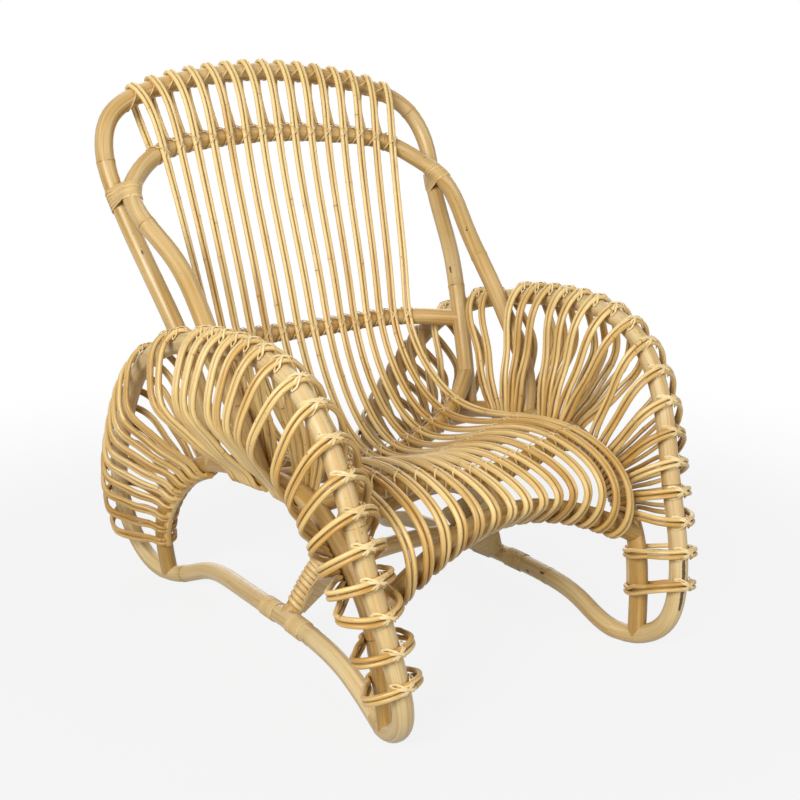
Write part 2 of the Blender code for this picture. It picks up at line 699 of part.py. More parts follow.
def make_loops(name, loop, arch, marks, material):
    """The arm loops of one side: groups of loops, each joined by its length of cover strip."""
    on_loop, on_arch = marks
    first = 0
    for group, count in enumerate(LOOP_GROUPS, start=1):
        last = first + count - 1
        before = on_arch[first] - on_arch[first - 1] if first else 1.0
        after = on_arch[last + 1] - on_arch[last] if last + 1 < len(on_arch) else 1.0
        start = on_arch[first] - min(STRIP_OVERHANG, (before - STRIP_SPACE) / 2)
        stop = on_arch[last] + min(STRIP_OVERHANG, (after - STRIP_SPACE) / 2)
        strip = make_object(f"{name}_arm_loops_{group}", *strip_mesh(arch, start, stop), material)
        verts = []
        faces = []
        for loop_mark, arch_mark in zip(on_loop[first:last + 1], on_arch[first:last + 1]):
            more_verts, more_faces = loop_mesh(loop, loop_mark, arch, arch_mark)
            faces += [tuple(v + len(verts) for v in face) for face in more_faces]
            verts += more_verts
        combine(strip, make_tool(f"{name}_loops_{group}.canes", verts, faces, material), "UNION")
        first = last + 1


def rail(middle, knee, end):
    """A rail across the chair: its middle, a point on its +X half, and its +X end.

    It stops a little short of the other pole's centre, inside the cut that copes it.
    """
    return arching([middle, knee, end + unit(knee - end) * COPE_SHORT])


def main():
    """Build the chair."""
    for old in list(bpy.data.objects):
        bpy.data.objects.remove(old)
    peeled = make_material("peeled_pole", (0.66, 0.49, 0.24), 0.42)
    cane = make_material("golden_cane", (0.70, 0.48, 0.19), 0.38)
    bark = make_material("pale_binding", (0.76, 0.60, 0.31), 0.48)

    loop = side_loop_line()
    arch = arch_line(loop)
    outer = outer_hoop_line(arch)
    inner = inner_hoop_line(arch)
    outer_half = outer.length / 2
    lines = {
        "lumbar_rail": rail(
            (0.0, LUMBAR_Y, LUMBAR_HEIGHT),
            (SLAT_KNEE, LUMBAR_Y - 0.012, LUMBAR_HEIGHT),
            outer.meet(2, LUMBAR_HEIGHT, after=outer_half)),
        "seat_rear_rail": rail(
            (0.0, REAR_RAIL_Y, REAR_RAIL_HEIGHT),
            (SLAT_KNEE, REAR_RAIL_Y + 0.024, REAR_RAIL_HEIGHT + 0.058),
            outer.meet(2, REAR_RAIL_HEIGHT + 0.1, after=outer_half)),
        "seat_middle_rail": rail(
            (0.0, MIDDLE_RAIL_Y, MIDDLE_RAIL_HEIGHT),
            (SLAT_KNEE, MIDDLE_RAIL_Y + 0.03, MIDDLE_RAIL_HEIGHT + 0.0218),
            arch.meet(1, MIDDLE_RAIL_END_Y)),
        "seat_front_rail": rail(
            (0.0, FRONT_RAIL_Y, FRONT_RAIL_HEIGHT),
            (SLAT_KNEE, FRONT_RAIL_Y + 0.034, FRONT_RAIL_HEIGHT + 0.0085),
            arch.meet(1, FRONT_RAIL_END_Y)),
        "front_apron_rail": rail(
            (0.0, APRON_Y, APRON_HEIGHT),
            (0.13, APRON_Y - 0.011, APRON_HEIGHT - 0.0252),
            arch.meet(2, APRON_END_HEIGHT)),
    }
    joint = loop.meet(1, STRETCHER_Y, after=rear_foot_mark(loop))
    stretcher = rail(
        (0.0, STRETCHER_Y, joint[2] + STRETCHER_RISE),
        (0.12, STRETCHER_Y, joint[2] + STRETCHER_RISE * 0.78),
        joint)
    perch = stretcher.at(stretcher.length - PERCH_SET_BACK)[0]
    lines["base_stretcher"] = stretcher
    lines["under_seat_arch"] = rail(
        (0.0, MIDDLE_RAIL_Y, MIDDLE_RAIL_HEIGHT - TOUCH),
        (0.15, STRETCHER_Y - 0.024, joint[2] + 0.095),
        perch + Z_AXIS * COPE_SHORT)

    poles = {}
    for side, name in ((1, "left"), (-1, "right")):
        side_loop = loop if side > 0 else loop.mirrored()
        side_arch = arch if side > 0 else arch.mirrored()
        side_pole = Pole(f"{name}_side_loop", side_loop, X_AXIS, peeled, corner_out=False, closed=True)
        side_pole.stand()
        poles[name + "_loop"] = side_pole
        poles[name + "_arch"] = Pole(f"{name}_inner_arch", side_arch, X_AXIS, peeled)
        poles[name + "_arch"].cope(side_pole)
    arches = (poles["left_arch"], poles["right_arch"])
    loops = (poles["left_loop"], poles["right_loop"])
    hoop = Pole("outer_back_hoop", outer, X_AXIS, peeled)
    hoop.cope(*arches)
    Pole("inner_back_hoop", inner, X_AXIS, peeled).cope(*arches)
    cross = {name: Pole(name, line, Z_AXIS, peeled) for name, line in lines.items()}
    cross["lumbar_rail"].cope(hoop)
    cross["seat_rear_rail"].cope(hoop)
    cross["seat_middle_rail"].cope(*arches)
    cross["seat_front_rail"].cope(*arches)
    cross["front_apron_rail"].cope(*arches)
    cross["base_stretcher"].cope(*loops)
    cross["under_seat_arch"].cope(*loops, cross["base_stretcher"])
    post_foot = cross["front_apron_rail"].line.meet(0, 0.0)
    post_head = lines["seat_front_rail"].meet(0, 0.0)
    cope = unit(post_head - post_foot) * COPE_SHORT
    post_line = Line([post_foot + cope, post_head - cope])
    post = Pole("front_post", post_line, X_AXIS, peeled)
    post.cope(cross["front_apron_rail"], cross["seat_front_rail"])

    rails = {
        "outer": outer,
        "inner": inner,
        "lumbar": lines["lumbar_rail"],
        "rear": lines["seat_rear_rail"],
        "middle": lines["seat_middle_rail"],
        "front": lines["seat_front_rail"],
        "apron": lines["front_apron_rail"],
    }
    for number in range(SLAT_COUNT):
        make_object(f"slat_{number + 1:02d}", *slat_mesh(number - SLAT_COUNT // 2, rails), cane)

    marks = loop_marks(loop, arch, outer, inner)
    bindings = {
        "hoop_lashing": lashing_mesh(outer, inner),
        "joint_wrap": joint_wrap_mesh(lines["base_stretcher"], lines["under_seat_arch"]),
    }
    for side, name in ((1, "left"), (-1, "right")):
        side_loop = poles[name + "_loop"].line
        make_loops(name, side_loop, poles[name + "_arch"].line, marks, cane)
        for binding, (verts, faces) in bindings.items():
            if side < 0:
                verts = mirrored(verts)
                faces = [face[::-1] for face in faces]
            make_object(f"{name}_{binding}", verts, faces, bark)
        middle = side_loop.where(1, STRETCHER_Y, after=rear_foot_mark(side_loop))
        starts = {
            "rear": middle - RUNNER_BINDING_SET_OFF - RUNNER_BINDING_LENGTH,
            "front": middle + RUNNER_BINDING_SET_OFF,
        }
        for end, start in starts.items():
            binding = runner_binding_mesh(side_loop, start, start + RUNNER_BINDING_LENGTH)
            make_object(f"{name}_runner_binding_{end}", *binding, bark)


main()
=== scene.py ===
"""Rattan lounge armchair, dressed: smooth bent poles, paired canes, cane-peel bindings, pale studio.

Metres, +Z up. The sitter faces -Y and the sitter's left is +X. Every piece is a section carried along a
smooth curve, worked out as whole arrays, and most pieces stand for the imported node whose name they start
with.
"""

import json
import logging
import math
from collections.abc import Callable, Iterable, Sequence
from dataclasses import dataclass, field
from enum import Enum
from typing import NamedTuple

import bpy
import numpy as np
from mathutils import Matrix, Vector

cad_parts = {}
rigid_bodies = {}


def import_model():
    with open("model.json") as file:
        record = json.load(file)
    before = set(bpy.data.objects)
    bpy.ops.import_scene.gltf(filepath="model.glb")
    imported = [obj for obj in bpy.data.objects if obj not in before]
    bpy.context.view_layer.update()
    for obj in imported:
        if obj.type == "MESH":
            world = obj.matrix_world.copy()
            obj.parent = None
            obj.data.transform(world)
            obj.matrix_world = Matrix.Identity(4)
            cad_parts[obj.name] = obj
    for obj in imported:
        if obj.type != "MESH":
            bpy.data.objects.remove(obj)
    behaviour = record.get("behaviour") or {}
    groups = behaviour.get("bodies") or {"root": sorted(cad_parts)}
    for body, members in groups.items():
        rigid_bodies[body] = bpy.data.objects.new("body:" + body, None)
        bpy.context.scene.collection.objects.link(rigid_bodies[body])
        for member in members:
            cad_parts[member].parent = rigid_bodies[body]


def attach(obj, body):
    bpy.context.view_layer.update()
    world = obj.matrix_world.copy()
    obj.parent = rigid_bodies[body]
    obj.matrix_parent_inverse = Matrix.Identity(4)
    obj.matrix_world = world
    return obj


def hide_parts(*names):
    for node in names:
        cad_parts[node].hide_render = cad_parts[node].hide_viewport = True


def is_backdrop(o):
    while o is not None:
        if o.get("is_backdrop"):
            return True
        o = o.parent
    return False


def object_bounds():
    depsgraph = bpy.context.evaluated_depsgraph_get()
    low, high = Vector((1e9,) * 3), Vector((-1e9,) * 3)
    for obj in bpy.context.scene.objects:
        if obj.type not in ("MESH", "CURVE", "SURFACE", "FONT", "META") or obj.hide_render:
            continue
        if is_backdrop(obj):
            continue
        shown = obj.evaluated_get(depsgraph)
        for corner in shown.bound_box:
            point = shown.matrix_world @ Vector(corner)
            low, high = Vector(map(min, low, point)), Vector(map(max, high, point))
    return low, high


for old in list(bpy.data.objects):
    bpy.data.objects.remove(old)
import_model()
CAD_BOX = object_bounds()

LOG = logging.getLogger("armchair")
BODY = "root"
CANE_MAP = "cane_map"

# Points in each span of a spline, a distance past every node, and the angle of a sharp edge.
SPAN_STEPS = 48
FAR_AWAY = 9.0
SHARP_ANGLE = math.radians(50)

Array = np.ndarray
Along = Callable[[Array], Array]
Colour = tuple[float, float, float]
Place = tuple[float, float, float]
Range = tuple[float, float]

X_AXIS = np.array([1.0, 0.0, 0.0])
Y_AXIS = np.array([0.0, 1.0, 0.0])
Z_AXIS = np.array([0.0, 0.0, 1.0])
MIRROR = np.array([-1.0, 1.0, 1.0])
TAU = 2 * math.pi


class Side(Enum):
    """The two sides of the chair, named from the sitter, by the sign of X."""

    LEFT = 1
    RIGHT = -1

    @property
    def word(self) -> str:
        """The side's name in lower case."""
        return self.name.lower()


class Slot(Enum):
    """The record's material slots."""

    POLE = "peeled_pole"
    CANE = "golden_cane"
    BINDING = "pale_binding"


@dataclass(frozen=True)
class Stock:
    """Sizes of the rattan that the chair is made from. A pole and a cane are given by their radius."""

    pole: float = 0.014
    cane: float = 0.0035
    strand_thickness: float = 0.0011
    tie_width: float = 0.0031
    spiral_width: float = 0.0025
    wound_thickness: float = 0.0022
    strip_width: float = 0.013
    strip_thickness: float = 0.0105
    pole_sides: int = 36
    cane_sides: int = 12
    strand_sides: int = 8
    strip_corners: int = 11

    @property
    def bound(self) -> float:
        """The distance from a pole's centre to the middle of a thin strand on it."""
        return self.pole + self.strand_thickness / 2


STOCK = Stock()


def unit(vectors: Array) -> Array:
    """Each row of vectors at length one."""
    return vectors / np.linalg.norm(vectors, axis=-1, keepdims=True)


def square(vectors: Array, ways: Array) -> Array:
    """Each vector with its part along its way taken off, at length one."""
    vectors = np.broadcast_to(vectors, np.shape(ways))
    return unit(vectors - np.sum(vectors * ways, axis=-1, keepdims=True) * ways)


def smooth(values: Array, low: float, high: float) -> Array:
    """The smooth step 3t^2 - 2t^3 of values between low and high, which may fall."""
    share = np.clip((values - low) / (high - low), 0.0, 1.0)
    return share * share * (3 - 2 * share)


def between(places: Array | float, knots: Array, rows: Array) -> Array:
    """Rows read at places, straight from knot to knot."""
    return np.stack([np.interp(places, knots, column) for column in rows.T], axis=-1)


def spline(knots: Array, closed: bool = False, steps: int = SPAN_STEPS) -> Array:
    """Points of a cubic spline through knots, natural at its ends or closed.

    Each span is a cubic whose second derivative runs straight from knot to knot.

    Args:
        knots: points that the curve passes, one in each row.
        closed: whether the curve runs back to its first knot.
        steps: points in each span.

    Returns:
        The points, with knot i in row i * steps.
    """
    points = np.vstack([knots, knots[:1]]) if closed else np.asarray(knots, float)
    gaps = np.linalg.norm(np.diff(points, axis=0), axis=1)
    slopes = np.diff(points, axis=0) / gaps[:, None]
    count = len(points)
    inner = np.arange(1, count - 1)
    matrix = np.eye(count)
    matrix[inner, inner - 1] = gaps[:-1]
    matrix[inner, inner] = 2 * (gaps[:-1] + gaps[1:])
    matrix[inner, inner + 1] = gaps[1:]
    right = np.zeros((count, 3))
    right[inner] = 6 * np.diff(slopes, axis=0)
    if closed:
        matrix[0, [0, 1, -2]] = 2 * (gaps[-1] + gaps[0]), gaps[0], gaps[-1]
        matrix[-1, 0] = -1
        right[0] = 6 * (slopes[0] - slopes[-1])
    bend = np.linalg.solve(matrix, right)
    share = (np.arange(steps) / steps)[None, :, None]
    rest = 1 - share
    cubic = (rest**3 - rest) * bend[:-1, None] + (share**3 - share) * bend[1:, None]
    curve = rest * points[:-1, None] + share * points[1:, None] + cubic * (gaps**2 / 6)[:, None, None]
    return np.vstack([curve.reshape(-1, 3), points[-1:]])


class Curve:
    """A smooth line, kept as close points and read by its length."""

    def __init__(self, points: Array, closed: bool = False) -> None:
        """Keep the points and measure the line.

        Args:
            points: close points, one in each row.
            closed: whether the last point is the first one again.
        """
        self.points = points
        self.closed = closed
        runs = np.linalg.norm(np.diff(points, axis=0), axis=1)
        self.marks = np.concatenate([[0.0], np.cumsum(runs)])
        self.length = float(self.marks[-1])

    @classmethod
    def through(cls, knots: Sequence, closed: bool = False) -> "Curve":
        """The smooth line through knots."""
        return cls(spline(np.array(knots, float), closed), closed)

    @classmethod
    def across(cls, half: Sequence) -> "Curve":
        """The smooth line across the chair, from the knots of its +X half, the middle first."""
        half = np.array(half, float)
        return cls(spline(np.vstack([half[:0:-1] * MIRROR, half])))

    @property
    def half(self) -> float:
        """Half the length."""
        return self.length / 2

    def at(self, marks: Array | float) -> Array:
        """The points at distances along the line."""
        marks = np.mod(marks, self.length) if self.closed else marks
        return between(marks, self.marks, self.points)

    def ways(self, marks: Array | float, reach: float = 0.002) -> Array:
        """The directions at distances along the line."""
        return unit(self.at(marks + reach) - self.at(marks - reach))

    def crossing(self, heights: Array, after: float = 0.0) -> float:
        """The first distance at which the points' heights over a surface change sign.

        Args:
            heights: each point's height over the surface.
            after: the distance that the search starts from.

        Returns:
            The distance, found straight between two points.
        """
        i = np.nonzero(heights[:-1] * heights[1:] <= 0)[0]
        share = heights[i] / (heights[i] - heights[i + 1])
        marks = self.marks[i] + (self.marks[i + 1] - self.marks[i]) * share
        return float(marks[marks >= after][0])

    def where(self, axis: int, value: float, after: float = 0.0) -> float:
        """The first distance, from after on, at which a coordinate has a value."""
        return self.crossing(self.points[:, axis] - value, after)

    def meet(self, axis: int, value: float, after: float = 0.0) -> Array:
        """The first point, from after on, at which a coordinate has a value."""
        return self.at(self.where(axis, value, after))

    def steps(self, step: float, first: float = 0.0, last: float | None = None) -> Array:
        """Even distances along the line, about a step apart.

        Args:
            step: the distance that is aimed at.
            first: where they start.
            last: where they end, or None for the end of the line.

        Returns:
            The distances, at least three, without the last one where the line is closed.
        """
        last = self.length if last is None else last
        count = max(3, round((last - first) / step))
        return np.linspace(first, last, count, endpoint=not self.closed)

    def mirrored(self) -> "Curve":
        """The same line on the other side of the chair."""
        return Curve(self.points * MIRROR, self.closed)


@dataclass
class Surface:
    """A mesh before it is an object: vertices, four-sided faces, end faces, map and values."""

    verts: Array
    quads: Array
    uvs: Array
    caps: list[Array]
    values: dict[str, Array]

    @staticmethod
    def joined(parts: Iterable["Surface"]) -> "Surface":
        """Several surfaces as one.

        Args:
            parts: the surfaces, all with the same kinds of values.

        Returns:
            One surface, with the parts in their order.
        """
        parts = list(parts)
        starts = np.cumsum([0] + [len(part.verts) for part in parts])
        return Surface(
            np.vstack([part.verts for part in parts]),
            np.vstack([part.quads + start for part, start in zip(parts, starts)]),
            np.vstack([part.uvs for part in parts]),
            [cap + start for part, start in zip(parts, starts) for cap in part.caps],
            {name: np.concatenate([part.values[name] for part in parts]) for name in parts[0].values},
        )

    def mirrored(self) -> "Surface":
        """The same surface on the other side of the chair, with its faces still turned outward."""
        caps = [cap[::-1] for cap in self.caps]
        return Surface(self.verts * MIRROR, self.quads[:, ::-1], self.uvs[:, ::-1], caps, self.values)


def headings(points: Array, closed: bool) -> Array:
    """The direction at each point of a path: from the point before it to the point after it.

    Args:
        points: the path, one point in each row.
        closed: whether the path runs back to its first point.

    Returns:
        The directions, at length one.
    """
    ahead = np.roll(points, -1, axis=0) - np.roll(points, 1, axis=0)
    if not closed:
        ahead[0], ahead[-1] = points[1] - points[0], points[-1] - points[-2]
    return unit(ahead)


def sweep(
    points: Array,
    wide: Array,
    section: Array,
    closed: bool = False,
    scale: Array | float = 1.0,
    tint: float = 0.5,
    node_run: Array | float = 1.0,
    stain: Array | float = 1.0,
    groove: Array | float = 0.0,
) -> Surface:
    """A section carried along points: vertex (i, k) = point_i + scale_i (a_k wide_i + b_k thick_i).

    Args:
        points: the path, one point in each row.
        wide: the section's width direction at each point, made square to the path.
        section: the section's corners (a, b), counter-clockwise seen against the path.
        closed: whether the path runs back to its first point.
        scale: the section's size at each point.
        tint: how deep a colour this length of rattan has, from 0 to 1; a pole's tint past 1 is painted shade.
        node_run: each point's distance from the nearest node of the rattan.
        stain: each vertex's distance from a dark streak, below 0 inside it.
        groove: painted shade at each corner of the section, by how far it faces another piece beside it, from
            0 to 1.

    Returns:
        The surface, with flat ends unless it is closed.
    """
    count, sides = len(points), len(section)
    along = headings(points, closed)
    wide = square(wide, along)
    thick = np.cross(along, wide)
    ring = section[None, :, :1] * wide[:, None] + section[None, :, 1:] * thick[:, None]
    scale = np.broadcast_to(scale, count)
    verts = points[:, None] + scale[:, None, None] * ring
    i, k = np.meshgrid(np.arange(count if closed else count - 1), np.arange(sides), indexing="ij")
    j, n = (i + 1) % count, (k + 1) % sides
    quads = np.stack([i * sides + k, i * sides + n, j * sides + n, j * sides + k], axis=-1)
    runs = np.linalg.norm(np.diff(points, axis=0, append=points[:1]), axis=1)
    marks = np.concatenate([[0.0], np.cumsum(runs)])
    u = np.stack([marks[i], marks[i], marks[i + 1], marks[i + 1]], axis=-1)
    v = np.stack([k, k + 1, k + 1, k], axis=-1) / sides
    ends = np.arange(sides)
    caps = [] if closed else [ends[::-1], ends + (count - 1) * sides]
    per_vertex = {
        "tint": np.full(count * sides, tint),
        "node_run": np.repeat(np.broadcast_to(node_run, count), sides),
        "stain": np.broadcast_to(stain, (count, sides)).ravel(),
        "groove": np.broadcast_to(groove, (count, sides)).ravel(),
    }
    uvs = np.stack([u, v], axis=-1).reshape(-1, 4, 2)
    return Surface(verts.reshape(-1, 3), quads.reshape(-1, 4), uvs, caps, per_vertex)


def with_nodes(marks: Array, nodes: Sequence[float]) -> Array:
    """Distances along a piece with its nodes' own distances put among them."""
    return np.union1d(np.round(marks, 6), np.round(nodes, 6))


def node_run(marks: Array, nodes: Sequence[float]) -> Array:
    """Each place's distance from the nearest node."""
    return np.min(np.abs(marks[:, None] - np.array([*nodes, FAR_AWAY])), axis=1)


def round_section(radius: float, sides: int) -> Array:
    """Corners of a circle: radius (cos t, sin t)."""
    turns = TAU * np.arange(sides) / sides
    return radius * np.stack([np.cos(turns), np.sin(turns)], axis=-1)


def flat_section(width: float, thickness: float, power: float = 0.6) -> Array:
    """Corners of a strand: (width cos^p t, thickness sin^p t) / 2, each with its sign kept.

    Args:
        width: the strand's width.
        thickness: its thickness.
        power: the power p: a low one gives a flat strand, and 1 an oval.

    Returns:
        The corners (a, b), counter-clockwise.
    """
    turns = TAU * (np.arange(STOCK.strand_sides) + 0.5) / STOCK.strand_sides
    rounds = np.stack([np.cos(turns), np.sin(turns)], axis=-1)
    return np.sign(rounds) * np.abs(rounds) ** power * np.array([width, thickness]) / 2


def half_round_section(width: float, thickness: float) -> Array:
    """Corners of a split cane: half an ellipse on a flat base."""
    turns = np.linspace(0.0, math.pi, STOCK.strip_corners)
    return np.stack([np.cos(turns) * width / 2, np.sin(turns) * thickness], axis=-1)


def strand(path: Array, outward: Array, tint: float, section: Array, closed: bool = False) -> Surface:
    """A flat strand of cane peel that lies along a path.

    Args:
        path: the strand's middle line, one point in each row.
        outward: the direction that its flat side faces at each point.
        tint: its shade, from 0 to 1.
        section: its section's corners.
        closed: whether the path runs back to its first point.

    Returns:
        The strand's surface.
    """
    along = headings(path, closed)
    wide = np.cross(square(outward, along), along)
    return sweep(path, wide, section, closed, tint=tint)


class Value:
    """A number socket that shader maths is written with."""

    def __init__(self, graph: "Graph", socket: bpy.types.NodeSocket) -> None:
        """Keep the socket and the tree that it is in."""
        self.graph = graph
        self.socket = socket

    def math(self, operation: str, *others: "Value | float") -> "Value":
        """One Math node on this value and others."""
        return self.graph.math(operation, self, *others)

    def __add__(self, other: "Value | float") -> "Value":
        """This value plus another."""
        return self.math("ADD", other)

    __radd__ = __add__

    def __sub__(self, other: "Value | float") -> "Value":
        """This value less another."""
        return self.math("SUBTRACT", other)

    def __rsub__(self, other: float) -> "Value":
        """A number less this value."""
        return self.graph.math("SUBTRACT", other, self)

    def __mul__(self, other: "Value | float") -> "Value":
        """This value times another."""
        return self.math("MULTIPLY", other)

    __rmul__ = __mul__

    def clamped(self) -> "Value":
        """This value held between 0 and 1."""
        return self.math("MINIMUM", 1.0).math("MAXIMUM", 0.0)

    def smooth(self, low: float, high: float) -> "Value":
        """A smooth step.

        Args:
            low: the value at which it is 0.
            high: the value at which it is 1.

        Returns:
            The step.
        """
        node = self.graph.add(
            "ShaderNodeMapRange",
            {"interpolation_type": "SMOOTHSTEP"},
            {"Value": self, "From Min": low, "From Max": high},
        )
        return Value(self.graph, node.outputs["Result"])


class Graph:
    """The node tree of a material or of the world."""

    def __init__(self, tree: bpy.types.NodeTree) -> None:
        """Start with an empty tree."""
        self.tree = tree
        tree.nodes.clear()

    def add(self, kind: str, settings: dict | None = None, inputs: dict | None = None) -> bpy.types.Node:
        """A new node.

        Args:
            kind: the node's type.
            settings: properties of the node, set first.
            inputs: numbers, colours, sockets or values for its sockets, by name or number.

        Returns:
            The node.
        """
        node = self.tree.nodes.new(kind)
        for name, setting in (settings or {}).items():
            setattr(node, name, setting)
        for name, given in (inputs or {}).items():
            source = given.socket if isinstance(given, Value) else given
            if isinstance(source, bpy.types.NodeSocket):
                self.tree.links.new(source, node.inputs[name])
            else:
                node.inputs[name].default_value = source
        return node

    def math(self, operation: str, *terms: "Value | float") -> Value:
        """One Math node."""
        node = self.add("ShaderNodeMath", {"operation": operation}, dict(enumerate(terms)))
        return Value(self, node.outputs[0])

    def attribute(self, name: str) -> Value:
        """A value kept on the mesh."""
        return Value(self, self.add("ShaderNodeAttribute", {"attribute_name": name}).outputs["Fac"])

    def cane_map(self) -> tuple[Value, Value]:
        """The piece's own map.

        Returns:
            Metres along the piece's path, and turns round it.
        """
        source = self.add("ShaderNodeUVMap", {"uv_map": CANE_MAP})
        parts = self.add("ShaderNodeSeparateXYZ", inputs={0: source.outputs[0]})
        return Value(self, parts.outputs[0]), Value(self, parts.outputs[1])

    def noise(self, vector: bpy.types.NodeSocket, scale: float, detail: float) -> Value:
        """Noise from 0 to 1, about a half."""
        node = self.add("ShaderNodeTexNoise", inputs={"Vector": vector, "Scale": scale, "Detail": detail})
        return Value(self, node.outputs["Fac"])

    def grain(self, along: Value, turn: Value, run: float, lanes: float, detail: float = 3.0) -> Value:
        """Noise drawn out along a cane: read at (run along, lanes cos t, lanes sin t), so it has no seam.

        Args:
            along: metres along the piece.
            turn: turns round it.
            run: how fast the noise changes along the piece.
            lanes: how fast it changes round the piece.
            detail: how much finer noise is laid over it.

        Returns:
            Noise from 0 to 1, about a half.
        """
        angle = turn * TAU
        place = self.add(
            "ShaderNodeCombineXYZ",
            inputs={0: along * run, 1: angle.math("COSINE") * lanes, 2: angle.math("SINE") * lanes},
        )
        return self.noise(place.outputs[0], 1.0, detail)

    def blend(self, share: Value, low: object, high: object) -> bpy.types.NodeSocket:
        """A colour between two colours."""
        node = self.add("ShaderNodeMix", {"data_type": "RGBA"}, {0: share, 6: low, 7: high})
        return node.outputs[2]


def opaque(colour: Colour) -> tuple[float, float, float, float]:
    """A colour with full alpha."""
    return (*colour, 1.0)


@dataclass(frozen=True)
class RattanMarksAndPaintedLight:
    """How all the chair's rattan is marked, with its painted crease shade and its painted light by height:
    shares of a blend, rates of a noise, and metres.
    """

    lane_shift: float = 53.0
    thread_run: float = 2.6
    thread_lanes: float = 3.1
    thread_range: Range = (0.56, 0.74)
    thread_share: float = 0.42
    broad_scale: float = 9.0
    broad_weight: float = 1.1
    tint_weight: float = 0.8
    middle_share: float = 0.45
    # Painted light by height: the height at which it is zero; the rattan is painted paler above it and darker
    # below.
    fade_height: float = 0.3
    halo_range: Range = (0.0, 0.016)
    halo_share: float = 0.3
    ring_range: Range = (0.0003, 0.0014)
    ring_share: float = 0.75
    ring_shade: float = 0.45
    ring_depth: float = 0.8
    patch_run: float = 9.0
    patch_lanes: float = 1.1
    patch_range: Range = (0.38, 0.6)
    speck_scale: float = 230.0
    speck_range: Range = (0.72, 0.78)
    speck_share: float = 0.55
    speck_shade: float = 0.5
    # Painted shade in the crease between the canes of a pair: how much of it, and how dark a brown.
    groove_share: float = 0.6
    groove_shade: float = 0.8
    stain_scale: float = 260.0
    stain_wander: float = 0.004
    stain_range: Range = (-0.0006, 0.0006)
    stain_share: float = 0.93
    stain_colour: Colour = (0.045, 0.027, 0.014)
    bump_distance: float = 0.0006
    roughness_swing: float = 0.25
    coat_roughness: float = 0.3
    specular: float = 0.28


RATTAN_MARKS_AND_PAINTED_LIGHT = RattanMarksAndPaintedLight()


@dataclass(frozen=True)
class RattanFinish:
    """Peeled rattan: drawn-out fibres, broad tone, node rings, specks and dark streaks, with painted shade in
    the creases between canes and painted light by height.

    Colours are linear. lanes and run set how fine the fibres are round and along a piece, contrast how
    much they show, and the last field how much paler the rattan is painted for each metre of height: painted
    light.
    """

    slot: Slot
    pale: Colour
    deep: Colour
    brown: Colour
    roughness: float
    lanes: float
    run: float
    contrast: float
    coat: float
    bump: float
    fade: float = 0.0

    def shaded(self, share: float) -> tuple[float, ...]:
        """The brown, darkened to a share of itself."""
        return opaque(tuple(share * level for level in self.brown))

    def material(self) -> bpy.types.Material:
        """The finish as a material.

        Fibres, the piece's tint and broad noise blend the pale colour to the deep one and on to the
        brown; a pole's tint past 1 is painted shade, and for the canes the height paints them paler
        higher up as painted light. Threads, node rings, specks, painted shade in the creases between
        canes and streaks are then blended over that.

        Returns:
            The material.
        """
        made = bpy.data.materials.new(self.slot.value + "_dressed")
        made.use_nodes = True
        graph = Graph(made.node_tree)
        g = RATTAN_MARKS_AND_PAINTED_LIGHT
        along, turn = graph.cane_map()
        tint = graph.attribute("tint")
        run = graph.attribute("node_run")
        lane = along + tint * g.lane_shift
        place = graph.add("ShaderNodeTexCoord").outputs["Object"]
        height_up = Value(graph, graph.add("ShaderNodeSeparateXYZ", inputs={"Vector": place}).outputs["Z"])
        fibre = graph.grain(lane, turn, self.run, self.lanes)
        thread = graph.grain(lane, turn, self.run * g.thread_run, self.lanes * g.thread_lanes)
        broad = graph.noise(place, g.broad_scale, detail=2.0)
        share = (fibre - 0.5) * self.contrast + (tint - 0.5) * g.tint_weight + (broad - 0.5) * g.broad_weight
        # Painted light: the rattan is painted paler the higher it stands, by its finish's last field.
        share = share + g.middle_share - (height_up - g.fade_height) * self.fade
        ring = 1.0 - run.smooth(*g.ring_range)
        patches = graph.grain(lane, turn, g.patch_run, g.patch_lanes).smooth(*g.patch_range)
        specks = graph.noise(place, g.speck_scale, detail=1.0).smooth(*g.speck_range)
        wander = (graph.noise(place, g.stain_scale, detail=2.0) - 0.5) * g.stain_wander
        edge = graph.attribute("stain") + wander
        colour = graph.blend(share.clamped(), opaque(self.pale), opaque(self.deep))
        layers = [
            # Past 1 the share runs on to the brown; on the poles under the seat and inside the arms, whose
            # tints run past 1, this is painted shade.
            ((share - 1.0).clamped(), opaque(self.brown)),
            (thread.smooth(*g.thread_range) * g.thread_share, opaque(self.brown)),
            ((1.0 - run.smooth(*g.halo_range)) * g.halo_share, opaque(self.deep)),
            (ring * patches * g.ring_share, self.shaded(g.ring_shade)),
            (specks * g.speck_share, self.shaded(g.speck_shade)),
            # Painted shade in the crease between the canes of a pair.
            (graph.attribute("groove") * g.groove_share, self.shaded(g.groove_shade)),
            ((1.0 - edge.smooth(*g.stain_range)) * g.stain_share, opaque(g.stain_colour)),
        ]
        for layer_share, layer_colour in layers:
            colour = graph.blend(layer_share, colour, layer_colour)
        height = fibre * 0.5 + thread * 0.5 - ring * g.ring_depth
        bump = graph.add(
            "ShaderNodeBump", inputs={"Strength": self.bump, "Distance": g.bump_distance, "Height": height}
        )
        shader = graph.add(
            "ShaderNodeBsdfPrincipled",
            inputs={
                "Base Color": colour,
                "Roughness": (fibre - 0.5) * g.roughness_swing + self.roughness,
                "Normal": bump.outputs[0],
                "Coat Weight": self.coat,
                "Coat Roughness": g.coat_roughness,
                "Specular IOR Level": g.specular,
            },
        )
        graph.add("ShaderNodeOutputMaterial", inputs={"Surface": shader.outputs[0]})
        return made


